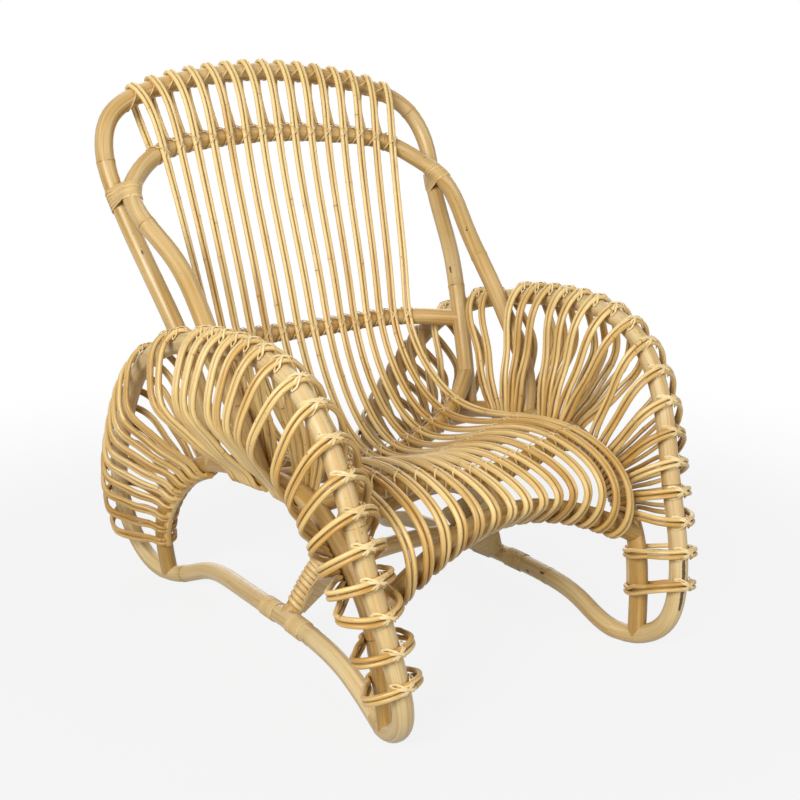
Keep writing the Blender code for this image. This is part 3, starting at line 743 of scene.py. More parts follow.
POLE_FINISH = RattanFinish(
    slot=Slot.POLE,
    pale=(0.68, 0.53, 0.28),
    deep=(0.48, 0.285, 0.08),
    brown=(0.24, 0.115, 0.03),
    roughness=0.38,
    lanes=2.8,
    run=4.0,
    contrast=2.1,
    coat=0.15,
    bump=0.2,
)
CANE_FINISH = RattanFinish(
    slot=Slot.CANE,
    pale=(0.80, 0.585, 0.245),
    deep=(0.52, 0.285, 0.062),
    brown=(0.22, 0.094, 0.02),
    roughness=0.33,
    lanes=0.9,
    run=7.0,
    contrast=2.1,
    coat=0.17,
    bump=0.22,
    # Painted light: the canes are painted paler for each metre of height.
    fade=1.2,
)
BINDING_FINISH = RattanFinish(
    slot=Slot.BINDING,
    pale=(0.80, 0.635, 0.345),
    deep=(0.56, 0.37, 0.14),
    brown=(0.36, 0.21, 0.08),
    roughness=0.45,
    lanes=0.8,
    run=14.0,
    contrast=1.8,
    coat=0.08,
    bump=0.25,
)


class Workshop:
    """Makes objects from surfaces and hands them to the frame."""

    def __init__(self) -> None:
        """Make the finishes."""
        self.materials = {f.slot: f.material() for f in (POLE_FINISH, CANE_FINISH, BINDING_FINISH)}

    def make(self, name: str, surface: Surface, slot: Slot, *nodes: str) -> bpy.types.Object:
        """An object that rides the chair.

        Args:
            name: the piece's name.
            surface: its shape.
            slot: the record's slot that it takes its finish from.
            nodes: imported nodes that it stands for.

        Returns:
            The object.
        """
        mesh = bpy.data.meshes.new(name)
        mesh.vertices.add(len(surface.verts))
        mesh.vertices.foreach_set("co", surface.verts.ravel())
        corners = np.concatenate([surface.quads.ravel(), *surface.caps])
        sizes = np.array([4] * len(surface.quads) + [len(cap) for cap in surface.caps])
        mesh.loops.add(len(corners))
        mesh.loops.foreach_set("vertex_index", corners)
        mesh.polygons.add(len(sizes))
        mesh.polygons.foreach_set("loop_start", np.cumsum(sizes) - sizes)
        mesh.update(calc_edges=True)
        layer = mesh.uv_layers.new(name=CANE_MAP)
        flat = np.zeros((len(corners), 2))
        flat[: surface.quads.size] = surface.uvs.reshape(-1, 2)
        layer.data.foreach_set("uv", flat.ravel())
        for key, values in surface.values.items():
            mesh.attributes.new(key, "FLOAT", "POINT").data.foreach_set("value", values)
        mesh.shade_smooth()
        mesh.set_sharp_from_angle(angle=SHARP_ANGLE)
        mesh.materials.append(self.materials[slot])
        made = bpy.data.objects.new(name, mesh)
        bpy.context.scene.collection.objects.link(made)
        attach(made, BODY)
        if nodes:
            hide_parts(*nodes)
        LOG.info("%s: %d faces", name, len(sizes))
        return made


@dataclass(frozen=True)
class ChairSizes:
    """The chair's driving sizes."""

    foot_spread: float = 0.2266
    arm_spread: float = 0.2985
    splay_power: float = 0.6
    arm_height: float = 0.484
    front_foot: float = -0.322
    rear_foot: float = 0.299
    front_reach: float = -0.399
    front_reach_height: float = 0.105
    rear_reach: float = 0.399
    rear_reach_height: float = 0.125
    runner_height: float = 0.0565
    runner_spread: float = 0.21
    foot_height: float = 0.0117
    foot_half_length: float = 0.016
    arch_height: float = 0.2925
    arch_spread: float = 0.25
    arch_foot: float = -0.345
    outer_height: float = 0.8355
    outer_y: float = 0.3291
    inner_height: float = 0.738
    inner_y: float = 0.2933
    lashing_height: float = 0.647
    lashing_y: float = 0.247
    lashing_spread: float = 0.2995
    leg_spread: float = 0.2695
    inner_foot: float = -0.066
    outer_foot: float = 0.074
    lumbar_height: float = 0.4228
    lumbar_y: float = 0.1965
    rear_rail_height: float = 0.2336
    rear_rail_y: float = 0.0335
    middle_rail_height: float = 0.2691
    middle_rail_y: float = -0.1357
    middle_rail_end: float = -0.0997
    front_rail_height: float = 0.2894
    front_rail_y: float = -0.2566
    front_rail_end: float = -0.2
    apron_height: float = 0.248
    apron_end_height: float = 0.1665
    apron_y: float = -0.3011
    seat_edge: float = -0.3475
    stretcher_y: float = -0.057
    stretcher_rise: float = 0.068
    perch_set_back: float = 0.02


class ChairLines:
    """The centre lines of the poles, on the +X side or across the chair."""

    def __init__(self, sizes: ChairSizes) -> None:
        """Work out every line, each from those that it stands on.

        Args:
            sizes: the chair's driving sizes.
        """
        self.sizes = sizes
        self.loop = self.side_loop()
        rear_height = self.loop.where(2, sizes.rear_reach_height, after=self.loop.length / 4)
        self.rear_foot_mark = self.loop.where(1, sizes.rear_foot, after=rear_height)
        self.arch = self.inner_arch()
        self.outer = self.outer_hoop()
        self.inner = self.inner_hoop()
        self.rails = self.seat_rails() | self.base_rails()

    def splay(self, height: float) -> float:
        """How far a side loop stands from the middle: a power law of the height."""
        s = self.sizes
        return s.foot_spread + (s.arm_spread - s.foot_spread) * (height / s.arm_height) ** s.splay_power

    def side_loop(self) -> Curve:
        """A side loop: from the front foot up the arm, down behind and along the runner.

        Returns:
            The closed line.
        """
        s = self.sizes
        arm = [
            (s.front_reach + 0.008, 0.048),
            (s.front_reach, s.front_reach_height),
            (s.front_reach + 0.039, s.arm_height - 0.237),
            (s.front_reach + 0.104, s.arm_height - 0.0725),
            (s.front_reach + 0.154, s.arm_height - 0.0255),
            (s.front_reach + 0.228, s.arm_height - 0.003),
            (s.front_reach + 0.292, s.arm_height),
            (s.rear_reach - 0.304, s.arm_height - 0.03),
            (s.rear_reach - 0.204, s.arm_height - 0.072),
            (s.rear_reach - 0.06, s.arm_height - 0.222),
            (s.rear_reach, s.rear_reach_height),
            (s.rear_reach - 0.026, 0.048),
        ]
        return Curve.through(
            [
                (s.foot_spread - 0.004, s.front_foot + s.foot_half_length, s.foot_height),
                (s.foot_spread + 0.005, s.front_foot - s.foot_half_length, s.foot_height),
                *[(self.splay(z), y, z) for y, z in arm],
                (s.foot_spread + 0.003, s.rear_foot + s.foot_half_length, s.foot_height),
                (s.foot_spread - 0.008, s.rear_foot - s.foot_half_length, s.foot_height),
                (s.runner_spread - 0.008, s.rear_foot - 0.088, s.runner_height - 0.019),
                (s.runner_spread - 0.007, s.rear_foot - 0.199, s.runner_height - 0.005),
                (s.runner_spread, s.stretcher_y + 0.017, s.runner_height),
                (s.runner_spread + 0.004, s.front_foot + 0.16, s.runner_height - 0.003),
                (s.runner_spread + 0.007, s.front_foot + 0.087, s.runner_height - 0.017),
            ],
            closed=True,
        )

    def inner_arch(self) -> Curve:
        """An inner arch, from foot to foot of its side loop.

        Returns:
            The line, front end first.
        """
        s = self.sizes
        front = self.loop.meet(1, s.arch_foot)
        rear = self.loop.at(self.rear_foot_mark)
        side = [
            (s.arch_foot + 0.006, 0.09),
            (s.arch_foot + 0.02, 0.16),
            (s.arch_foot + 0.081, s.arch_height - 0.05),
            (s.arch_foot + 0.15, s.arch_height - 0.007),
            (s.arch_foot + 0.233, s.arch_height),
            (s.rear_foot - 0.31, s.arch_height - 0.006),
            (s.rear_foot - 0.215, s.arch_height - 0.025),
            (s.rear_foot - 0.075, s.arch_height - 0.107),
            (s.rear_foot - 0.016, 0.1),
        ]
        lean = (s.arch_spread - front[0]) / s.arch_height
        return Curve.through([front, *[(front[0] + lean * z, y, z) for y, z in side], rear])

    def outer_hoop(self) -> Curve:
        """The rear back hoop, which stands on the rear shoulders of the arches.

        Returns:
            The line, from -X to +X.
        """
        s = self.sizes
        foot = self.arch.meet(1, s.outer_foot)
        spread, y, z = s.lashing_spread, s.outer_y, s.outer_height
        return Curve.across(
            [
                (0.0, y, z),
                (spread - 0.1725, y - 0.005, z - 0.01),
                (spread - 0.0745, y - 0.014, z - 0.033),
                (spread - 0.0185, y - 0.027, z - 0.065),
                (spread + 0.0055, y - 0.054, z - 0.125),
                (spread, s.lashing_y, s.lashing_height),
                (spread - 0.018, s.lashing_y - 0.0755, s.lashing_height - 0.117),
                (spread - 0.0345, s.lashing_y - 0.119, s.lashing_height - 0.2),
                (spread - 0.046, foot[1] + 0.021, foot[2] + 0.088),
                foot,
            ]
        )

    def inner_hoop(self) -> Curve:
        """The front back hoop, whose legs slant down to the arches.

        Returns:
            The line, from -X to +X.
        """
        s = self.sizes
        foot = self.arch.meet(1, s.inner_foot)
        spread, y, z = s.lashing_spread, s.inner_y, s.inner_height
        return Curve.across(
            [
                (0.0, y, z),
                (spread - 0.1795, y - 0.006, z - 0.006),
                (spread - 0.0695, y - 0.025, z - 0.029),
                (spread - 0.0375, y - 0.042, z - 0.049),
                (spread - 0.011, s.lashing_y - 0.0215, s.lashing_height + 0.0175),
                (s.leg_spread + 0.0075, s.lashing_y - 0.1215, s.lashing_height - 0.067),
                (s.leg_spread, foot[1] + 0.102, s.arm_height - 0.004),
                (s.leg_spread - 0.001, foot[1] + 0.064, s.arm_height - 0.054),
                (s.leg_spread - 0.001, foot[1] + 0.031, foot[2] + 0.09),
                (s.leg_spread - 0.008, foot[1] + 0.009, foot[2] + 0.045),
                foot,
            ]
        )

    def seat_rails(self) -> dict[str, Curve]:
        """The rails that the slats cross, each from its middle, a knee and its end.

        Returns:
            The lines, by node.
        """
        s = self.sizes
        knee = SLATS.seat_pitch * (SLATS.count // 2)
        outer_end = self.outer.half
        return {
            "lumbar_rail": Curve.across([
                (0.0, s.lumbar_y, s.lumbar_height),
                (knee, s.lumbar_y - 0.012, s.lumbar_height),
                self.outer.meet(2, s.lumbar_height, after=outer_end),
            ]),
            "seat_rear_rail": Curve.across([
                (0.0, s.rear_rail_y, s.rear_rail_height),
                (knee, s.rear_rail_y + 0.024, s.rear_rail_height + 0.058),
                self.outer.meet(2, s.rear_rail_height + 0.1, after=outer_end),
            ]),
            "seat_middle_rail": Curve.across([
                (0.0, s.middle_rail_y, s.middle_rail_height),
                (knee, s.middle_rail_y + 0.03, s.middle_rail_height + 0.0218),
                self.arch.meet(1, s.middle_rail_end),
            ]),
            "seat_front_rail": Curve.across([
                (0.0, s.front_rail_y, s.front_rail_height),
                (knee, s.front_rail_y + 0.034, s.front_rail_height + 0.0085),
                self.arch.meet(1, s.front_rail_end),
            ]),
            "front_apron_rail": Curve.across([
                (0.0, s.apron_y, s.apron_height),
                (0.13, s.apron_y - 0.011, s.apron_height - 0.0252),
                self.arch.meet(2, s.apron_end_height),
            ]),
        }

    def base_rails(self) -> dict[str, Curve]:
        """The stretcher between the runners and the arch that rises from it to the seat.

        Returns:
            The lines, by node.
        """
        s = self.sizes
        joint = self.loop.meet(1, s.stretcher_y, after=self.rear_foot_mark)
        stretcher = Curve.across([
            (0.0, s.stretcher_y, joint[2] + s.stretcher_rise),
            (0.12, s.stretcher_y, joint[2] + s.stretcher_rise * 0.78),
            joint,
        ])
        perch = stretcher.at(stretcher.length - s.perch_set_back)
        return {
            "base_stretcher": stretcher,
            "under_seat_arch": Curve.across([
                (0.0, s.middle_rail_y, s.middle_rail_height - 2 * STOCK.pole),
                (0.15, s.stretcher_y - 0.024, joint[2] + 0.095),
                perch,
            ]),
        }


@dataclass(frozen=True)
class Streak:
    """A dark mark along a pole: its middle, half length, half width and turn round the pole."""

    mark: float
    half_length: float
    half_width: float
    turn: float


@dataclass(frozen=True)
class PoleMarks:
    """One pole's marks: the places of its nodes, its tint and its dark marks; a tint past 1 is painted shade,
    on the poles under the seat and inside the arms.
    """

    nodes: tuple[float, ...]
    tint: float
    streaks: tuple[Streak, ...] = ()


# Tints above 1, on the inner arches, the lumbar rail, the seat rails, the apron rail, the post and the
# under-seat arch, darken the poles that lie in the shade of the seat and the arms: painted shade.
POLE_MARKS = {
    "left_side_loop": PoleMarks(
        (0.31, 0.6, 0.86, 1.21, 1.6, 2.027),
        0.45,
        (
            Streak(0.167, 0.038, 0.0027, 0.705),
            Streak(0.252, 0.003, 0.0011, 0.71),
            Streak(1.993, 0.004, 0.0015, 0.521),
            Streak(2.023, 0.0045, 0.0018, 0.417),
            Streak(2.03, 0.005, 0.0017, 0.646),
        ),
    ),
    "right_side_loop": PoleMarks((0.024, 0.37, 0.66, 0.95, 1.27, 1.586, 1.989), 0.3),
    "left_inner_arch": PoleMarks((0.19, 0.52, 0.8), 1.3),
    "right_inner_arch": PoleMarks((0.13, 0.44, 0.78), 1.2),
    "outer_back_hoop": PoleMarks(
        (0.17, 0.484, 0.8, 1.16, 1.5),
        0.8,
        (Streak(1.472, 0.006, 0.0015, 0.69), Streak(0.33, 0.004, 0.0012, 0.45)),
    ),
    "inner_back_hoop": PoleMarks((0.1, 0.417, 0.73, 1.02, 1.33), 0.85, (Streak(1.28, 0.004, 0.0012, 0.65),)),
    "lumbar_rail": PoleMarks((0.09, 0.37), 1.05),
    "seat_rear_rail": PoleMarks((0.2, 0.46), 1.3),
    "seat_middle_rail": PoleMarks((0.14, 0.4), 1.3),
    "seat_front_rail": PoleMarks((0.08, 0.33), 1.3),
    "front_apron_rail": PoleMarks((0.17, 0.43), 1.25),
    "base_stretcher": PoleMarks((0.12, 0.33), 0.85),
    "under_seat_arch": PoleMarks((0.2, 0.41), 1.35),
    "front_post": PoleMarks((), 1.3),
}


@dataclass
class PoleFrame:
    """The bent poles: smooth tubes with nodes, each a swelling and a thin ring.

    Each of the waves in a pole's thickness has a size, a rate along the pole and a shift with its tint.
    """

    lines: ChairLines
    step: float = 0.003
    node_swell: float = 0.0006
    node_reach: float = 0.004
    waviness: float = 0.012
    waves: tuple[tuple[float, float, float], ...] = ((1.0, 21.0, 40.0), (0.6, 47.0, 90.0))

    def tube(self, line: Curve, guide: Array, grown: PoleMarks) -> Surface:
        """A pole on a line: radius r (1 + waves) + swell exp(-(run / reach)^2) at the nodes.

        Args:
            line: the pole's centre line.
            guide: a direction that the section turns with.
            grown: the pole's nodes, tint and dark marks; a tint past 1 is painted shade.

        Returns:
            The pole's surface.
        """
        marks = with_nodes(line.steps(self.step), grown.nodes)
        run = node_run(marks, grown.nodes)
        waves = sum(size * np.sin(marks * rate + grown.tint * shift) for size, rate, shift in self.waves)
        swell = self.node_swell / STOCK.pole * np.exp(-((run / self.node_reach) ** 2))
        scale = 1 + self.waviness * waves / 2 + swell
        turns = np.arange(STOCK.pole_sides) / STOCK.pole_sides
        stain = np.ones((len(marks), STOCK.pole_sides))
        for streak in grown.streaks:
            aside = np.abs(np.mod(turns - streak.turn + 0.5, 1.0) - 0.5) * TAU * STOCK.pole
            ahead = np.abs(marks - streak.mark) - streak.half_length
            stain = np.minimum(stain, np.maximum(ahead[:, None], aside[None, :] - streak.half_width))
        return sweep(
            line.at(marks),
            guide,
            round_section(STOCK.pole, STOCK.pole_sides),
            line.closed,
            scale,
            tint=grown.tint,
            node_run=run,
            stain=stain,
        )

    def build(self, shop: Workshop) -> None:
        """Make every pole.

        Args:
            shop: where the objects are made.
        """
        lines = self.lines
        held = (lines.rails["front_apron_rail"], lines.rails["seat_front_rail"])
        post = Curve.through([rail.meet(0, 0.0) for rail in held])
        poles = {
            "left_side_loop": (lines.loop, X_AXIS),
            "right_side_loop": (lines.loop.mirrored(), X_AXIS),
            "left_inner_arch": (lines.arch, X_AXIS),
            "right_inner_arch": (lines.arch.mirrored(), X_AXIS),
            "outer_back_hoop": (lines.outer, Y_AXIS),
            "inner_back_hoop": (lines.inner, Y_AXIS),
            **{node: (line, Y_AXIS) for node, line in lines.rails.items()},
            "front_post": (post, X_AXIS),
        }
        for node, (line, guide) in poles.items():
            tube = self.tube(line, guide, POLE_MARKS[node])
            tube.verts[:, 2] = np.maximum(tube.verts[:, 2], 0.0)
            shop.make(f"{node}_pole", tube, Slot.POLE, node)


@dataclass(frozen=True)
class CanePair:
    """Two canes side by side on one path, with small gaps that come and go.

    Past the share swell_from of the path, the canes grow to swell times their radius.
    """

    step: float = 0.006
    wander: float = 0.0004
    radius: float = STOCK.cane
    swell: float = 1.0
    swell_from: float = 0.55
    ripple: float = 0.03
    wave_counts: tuple[int, int] = (2, 6)
    node_range: Range = (0.12, 0.88)
    node_swell: float = 0.1
    node_reach: float = 0.003

    def build(self, path: Curve, wide: Along, seed: int, splay: Along | None = None) -> Surface:
        """The pair: cane c = -1 or 1 lies at path + c wide (radius + wander / 2 + splay + drift).

        Args:
            path: the pair's middle line.
            wide: the direction from cane to cane at distances along the path.
            seed: picks the canes' shades, wander and nodes.
            splay: how far the canes stand apart at distances along the path.

        Returns:
            Both canes as one surface.
        """
        dice = np.random.default_rng(seed)
        canes = []
        for hand in (-1.0, 1.0):
            waves = dice.integers(*self.wave_counts, 2)
            phases = dice.uniform(0.0, TAU, 2)
            nodes = dice.uniform(*self.node_range, 2) * path.length
            marks = with_nodes(path.steps(self.step), nodes)
            across = square(wide(marks), path.ways(marks))
            grown = np.interp(marks / path.length, [0.0, self.swell_from, 1.0], [1.0, 1.0, self.swell])
            apart = self.radius * grown + self.wander / 2 + (splay(marks) if splay else 0.0)
            turns = TAU * marks / path.length
            drift = self.wander * np.sum(np.sin(np.outer(turns, waves) + phases), axis=1) / 4
            run = node_run(marks, nodes)
            ripple = self.ripple * np.sin(turns * waves[0] + phases[1])
            scale = grown + ripple + self.node_swell * np.exp(-((run / self.node_reach) ** 2))
            section = round_section(self.radius, STOCK.cane_sides)
            canes.append(
                sweep(
                    path.at(marks) + hand * across * (apart + drift)[:, None],
                    across,
                    section,
                    path.closed,
                    scale,
                    tint=dice.uniform(),
                    node_run=run,
                    # Painted shade: each cane is darkened on the side that faces the other cane of its pair.
                    groove=np.clip(-hand * section[:, 0] / self.radius, 0.0, 1.0) ** 2,
                )
            )
        return Surface.joined(canes)


@dataclass(frozen=True)
class SlatSizes:
    """How the slats are set out.

    A slat goes over the rear hoop at the angles over, in degrees from its front, with its shares of the
    shift behind. It ends round the apron rail at the angles under.
    """

    count: int = 15
    top_pitch: float = 0.0333
    hoop_pitch: float = 0.0314
    lumbar_pitch: float = 0.0281
    seat_pitch: float = 0.0285
    tail: float = 0.002
    behind_shift: float = 0.004
    behind_gap: float = 0.001
    straight: float = 0.82
    lift: float = 0.0003
    over: tuple[float, ...] = (157.5, 112.5, 67.5, 22.5)
    over_shares: tuple[float, ...] = (0.7, 0.5, 0.2, 0.0)
    under: tuple[float, ...] = (40.0, 80.0, 120.0)
    hoop_lean: float = 0.25
    rounds: int = 5
    first_seed: int = 100


SLATS = SlatSizes()


@dataclass
class Crossing:
    """Where a slat crosses a rail: the rail's point and its direction there."""

    line: Curve
    offset: float
    middle: Array = field(init=False)
    across: Array = field(init=False)

    def __post_init__(self) -> None:
        """Find the crossing."""
        mark = self.line.where(0, self.offset)
        self.middle = self.line.at(mark)
        self.across = self.line.ways(mark)

    def off(self, lean: Array, distance: float) -> Array:
        """The point at a distance from the rail's centre, to the side that lean points to."""
        return self.middle + square(lean, self.across) * distance


@dataclass
class SlatSet:
    """The slats: each rises behind, turns over the rear hoop and runs down the back and over the seat."""

    lines: ChairLines
    pair: CanePair = CanePair(radius=0.0032, swell=1.2)
    leans: dict[str, list[Array]] = field(default_factory=dict)

    def rails(self) -> dict[str, tuple[Curve, float]]:
        """The lines that the slats cross.

        Returns:
            Each line and the slats' pitch there, by the line's short name.
        """
        rails = self.lines.rails
        return {
            "outer": (self.lines.outer, SLATS.top_pitch),
            "inner": (self.lines.inner, SLATS.hoop_pitch),
            "lumbar": (rails["lumbar_rail"], SLATS.lumbar_pitch),
            "rear": (rails["seat_rear_rail"], SLATS.seat_pitch),
            "middle": (rails["seat_middle_rail"], SLATS.seat_pitch),
            "front": (rails["seat_front_rail"], SLATS.seat_pitch),
            "apron": (rails["front_apron_rail"], SLATS.seat_pitch),
        }

    def path(self, index: int) -> tuple[Curve, Array]:
        """One slat's middle line, and the direction from cane to cane at its knots.

        The slat seats at a pole's radius plus a cane's from each rail's centre, on the side square to
        its own direction, which is found by a few rounds of making the line and turning the seats.

        Args:
            index: the slat's number from the middle one, positive towards +X.

        Returns:
            The line, and a direction for each of its knots.
        """
        seats = {name: Crossing(line, index * pitch) for name, (line, pitch) in self.rails().items()}
        rest = STOCK.pole + STOCK.cane + SLATS.lift
        rise = square(seats["outer"].middle - seats["inner"].middle, X_AXIS)
        front = np.cross(X_AXIS, rise)
        aside = seats["outer"].across * SLATS.behind_shift
        start = [seats["inner"].off(-front, rest + SLATS.behind_gap) - rise * SLATS.tail + aside]
        for turn, share in zip(np.radians(SLATS.over), SLATS.over_shares):
            over = front * math.cos(turn) + rise * math.sin(turn)
            start.append(seats["outer"].off(over, rest) + aside * share)
        edge = (seats["front"].middle[2] + seats["apron"].middle[2]) / 2
        ending = [np.array([seats["front"].middle[0], self.lines.sizes.seat_edge, edge])]
        for turn in np.radians(SLATS.under):
            ending.append(seats["apron"].off(np.array([0.0, -math.cos(turn), -math.sin(turn)]), rest))
        crossed = ["inner", "lumbar", "rear", "middle", "front"]
        spots = (len(start) + np.array([0, 2, 3, 4, 5])) * SPAN_STEPS
        leans = [front, front, Z_AXIS, Z_AXIS, Z_AXIS]
        for _ in range(SLATS.rounds):
            seated = [seats[name].off(lean, rest) for name, lean in zip(crossed, leans)]
            straight = seated[0] + SLATS.straight * (seated[1] - seated[0])
            curve = spline(np.array(start + seated[:1] + [straight] + seated[1:] + ending))
            leans = np.cross(X_AXIS, unit(curve[spots - 1] - curve[spots + 1]))
        for name, lean in zip(crossed, leans):
            self.leans.setdefault(name, []).append(lean)
        self.leans.setdefault("outer", []).append(unit(rise + SLATS.hoop_lean * front))
        over, under = ["outer"] * len(SLATS.over), ["apron"] * len(SLATS.under)
        order = ["inner", *over, "inner", "lumbar", *crossed[1:], "front", *under]
        return Curve(curve), np.array([seats[name].across for name in order])

    def build(self, shop: Workshop) -> None:
        """Make every slat.

        Args:
            shop: where the objects are made.
        """
        for number in range(SLATS.count):
            path, across = self.path(number - SLATS.count // 2)

            def wide(marks: Array, knots: Array = path.marks[::SPAN_STEPS], across: Array = across) -> Array:
                """The direction from cane to cane, straight from knot to knot."""
                return between(marks, knots, across)

            node = f"slat_{number + 1:02d}"
            canes = self.pair.build(path, wide, seed=SLATS.first_seed + number)
            shop.make(f"{node}_canes", canes, Slot.CANE, node)


class Station(NamedTuple):
    """A place on a pole: its centre, and the directions along the pole, outward and sideways."""

    point: Array
    way: Array
    out: Array
    side: Array

    @classmethod
    def on(cls, line: Curve, mark: float) -> "Station":
        """The place at a distance along a side loop or an arch.

        Args:
            line: the pole's centre line.
            mark: the distance.

        Returns:
            The place, its outward direction square to the pole and away from the middle of its arch.
        """
        way = line.ways(mark)
        side = square(X_AXIS, way)
        return cls(line.at(mark), way, np.cross(side, way), side)


@dataclass
class ArmLoops:
    """The arms: pairs of canes looped round a side loop and an inner arch, with their cover strips.

    The gaps are the room that the loops leave before and behind the poles that they pass.
    """

    lines: ChairLines
    pair: CanePair = CanePair(step=0.005)
    bulge_low: float = 0.036
    bulge_top: float = 0.054
    depth: float = 0.5
    seat: float = 0.0185
    start_height: float = 0.11
    end_height: float = 0.1
    seat_height: float = 0.085
    groups: tuple[int, ...] = (2, 7, 5, 5, 5, 5)
    bend: float = -0.273
    bend_pitch: float = 0.038
    top_start: float = -0.17
    top_pitch: float = 0.034
    slant_gaps: Range = (0.036, 0.04)
    upright_gaps: Range = (0.029, 0.055)
    apron_gaps: Range = (0.026, 0.042)
    front_gaps: Range = (0.038, 0.03)
    middle_gap: float = 0.029
    middle_reach: float = 0.089
    foot_gap: float = 0.03
    overhang: float = 0.009
    bow: float = 0.045
    splay: float = 0.0012
    snug: float = 1.06
    strip_step: float = 0.006
    strip_sink: float = 0.001
    tie_tilt: float = 0.0092
    tie_lifts: Range = (0.001, 0.0018)
    tie_tint: float = 0.4
    ring_seed: int = 1000
    strip_seed: int = 500
    tie_seed: int = 77

    def marks(self) -> tuple[Array, Array]:
        """Where the loops of one arm sit, front to rear, in runs of even steps.

        Returns:
            Their distances along the side loop and along the arch.
        """
        lines, s = self.lines, self.lines.sizes
        loop, arch, outer, inner = lines.loop, lines.arch, lines.outer, lines.inner
        upright = outer.meet(2, s.arm_height - 2 * STOCK.pole, after=outer.half)[1]
        slant = inner.meet(2, s.arm_height - STOCK.pole, after=inner.half)[1]
        end = loop.where(2, self.end_height, after=loop.where(1, upright))
        bend = loop.where(1, self.bend, after=loop.where(2, self.start_height))
        on_loop = [
            (loop.where(2, self.start_height), bend, 9),
            (bend + self.bend_pitch, loop.where(1, self.top_start), 3),
            (loop.where(1, self.top_start + self.top_pitch), loop.where(1, slant - self.slant_gaps[0]), 5),
            (loop.where(1, slant + self.slant_gaps[1]), loop.where(1, upright - self.upright_gaps[0]), 2),
            (loop.where(1, upright + self.upright_gaps[1]), end, 10),
        ]
        apron = arch.where(2, s.apron_end_height)
        front = arch.where(1, s.front_rail_end)
        middle = arch.where(1, s.middle_rail_end)
        foot = arch.where(1, s.outer_foot)
        on_arch = [
            (arch.where(2, self.seat_height), apron - self.apron_gaps[0], 2),
            (apron + self.apron_gaps[1], front - self.front_gaps[0], 7),
            (front + self.front_gaps[1], middle - self.middle_gap, 5),
            (middle + self.middle_gap, middle + self.middle_reach, 5),
            (foot + self.foot_gap, arch.where(2, self.seat_height, after=foot), 10),
        ]
        spread = [np.concatenate([np.linspace(*run) for run in runs]) for runs in (on_loop, on_arch)]
        return spread[0], spread[1]

    def bulge(self, height: float) -> float:
        """The radius of a loop's wide end, larger towards the arm's top."""
        return self.bulge_low + (self.bulge_top - self.bulge_low) * height / self.lines.sizes.arm_height

    def ring(self, loop: Curve, loop_mark: float, arch: Curve, arch_mark: float, seed: int) -> Surface:
        """One loop: half an oval over the side loop, drawn in to a snug turn behind the arch.

        The oval is crown + depth (1 - cos t) + bulge side sin t, and two bowed sides join it to the turn.

        Args:
            loop: the side loop's line.
            loop_mark: the distance along it.
            arch: the inner arch's line.
            arch_mark: the distance along it.
            seed: picks the canes' shades, wander and nodes.

        Returns:
            The loop's two canes.
        """
        pole, way, out, side = Station.on(loop, loop_mark)
        seat, arch_way, arch_out, arch_side = Station.on(arch, arch_mark)
        bulge = self.bulge(pole[2])
        crown = pole + out * self.seat
        depth = (seat - crown) * self.depth
        depth = depth - side * (depth @ side)
        turns = np.radians(np.linspace(-90.0, 90.0, 7))[:, None]
        arc = crown + depth * (1 - np.cos(turns)) + side * bulge * np.sin(turns)
        bends = np.radians(np.linspace(8.0, 172.0, 5))[:, None]
        snug = seat + self.seat * (arch_side * np.cos(bends) * self.snug - arch_out * np.sin(bends))
        shares = np.array([[1 / 3], [2 / 3]])
        bow = 4 * shares * (1 - shares) * self.bow * np.linalg.norm(snug[0] - arc[-1]) * side
        there = arc[-1] + shares * (snug[0] - arc[-1]) + bow
        back = snug[-1] + shares * (arc[0] - snug[-1]) - bow
        path = Curve.through(np.vstack([arc, there, snug, back]), closed=True)
        knots = path.marks[::SPAN_STEPS]
        turned = np.array([0] * 7 + [1 / 3, 2 / 3] + [1] * 5 + [2 / 3, 1 / 3, 0])

        def wide(marks: Array) -> Array:
            """The side loop's direction, turning into the arch's."""
            share = np.interp(marks, knots, turned)[:, None]
            return unit(way * (1 - share) + arch_way * share)

        def splay(marks: Array) -> Array:
            """How far the canes stand apart: some way on the two bowed sides, and not at their ends.

            Args:
                marks: distances along the loop.

            Returns:
                The distance for each of them.
            """
            sides = ((knots[6], knots[9]), (knots[13], path.length))
            humps = [smooth(marks, low, (low + high) / 2) * smooth(marks, high, low) for low, high in sides]
            return self.splay * 2 * (humps[0] + humps[1])

        return self.pair.build(path, wide, seed, splay)

    def strip(self, arch: Curve, first: float, last: float, seed: int) -> Surface:
        """A split cane along the inside of the arch, over the ends of a group of loops.

        Args:
            arch: the inner arch's line.
            first: the distance along it at which the strip starts.
            last: the distance at which it ends.
            seed: picks its shade.

        Returns:
            The strip's surface.
        """
        marks = np.linspace(first, last, max(6, round((last - first) / self.strip_step)))
        ways = arch.ways(marks)
        sides = square(X_AXIS, ways)
        inward = np.cross(ways, sides)
        section = half_round_section(STOCK.strip_width, STOCK.strip_thickness)
        tint = np.random.default_rng(seed).uniform()
        return sweep(arch.at(marks) + inward * (STOCK.pole - self.strip_sink), sides, section, tint=tint)

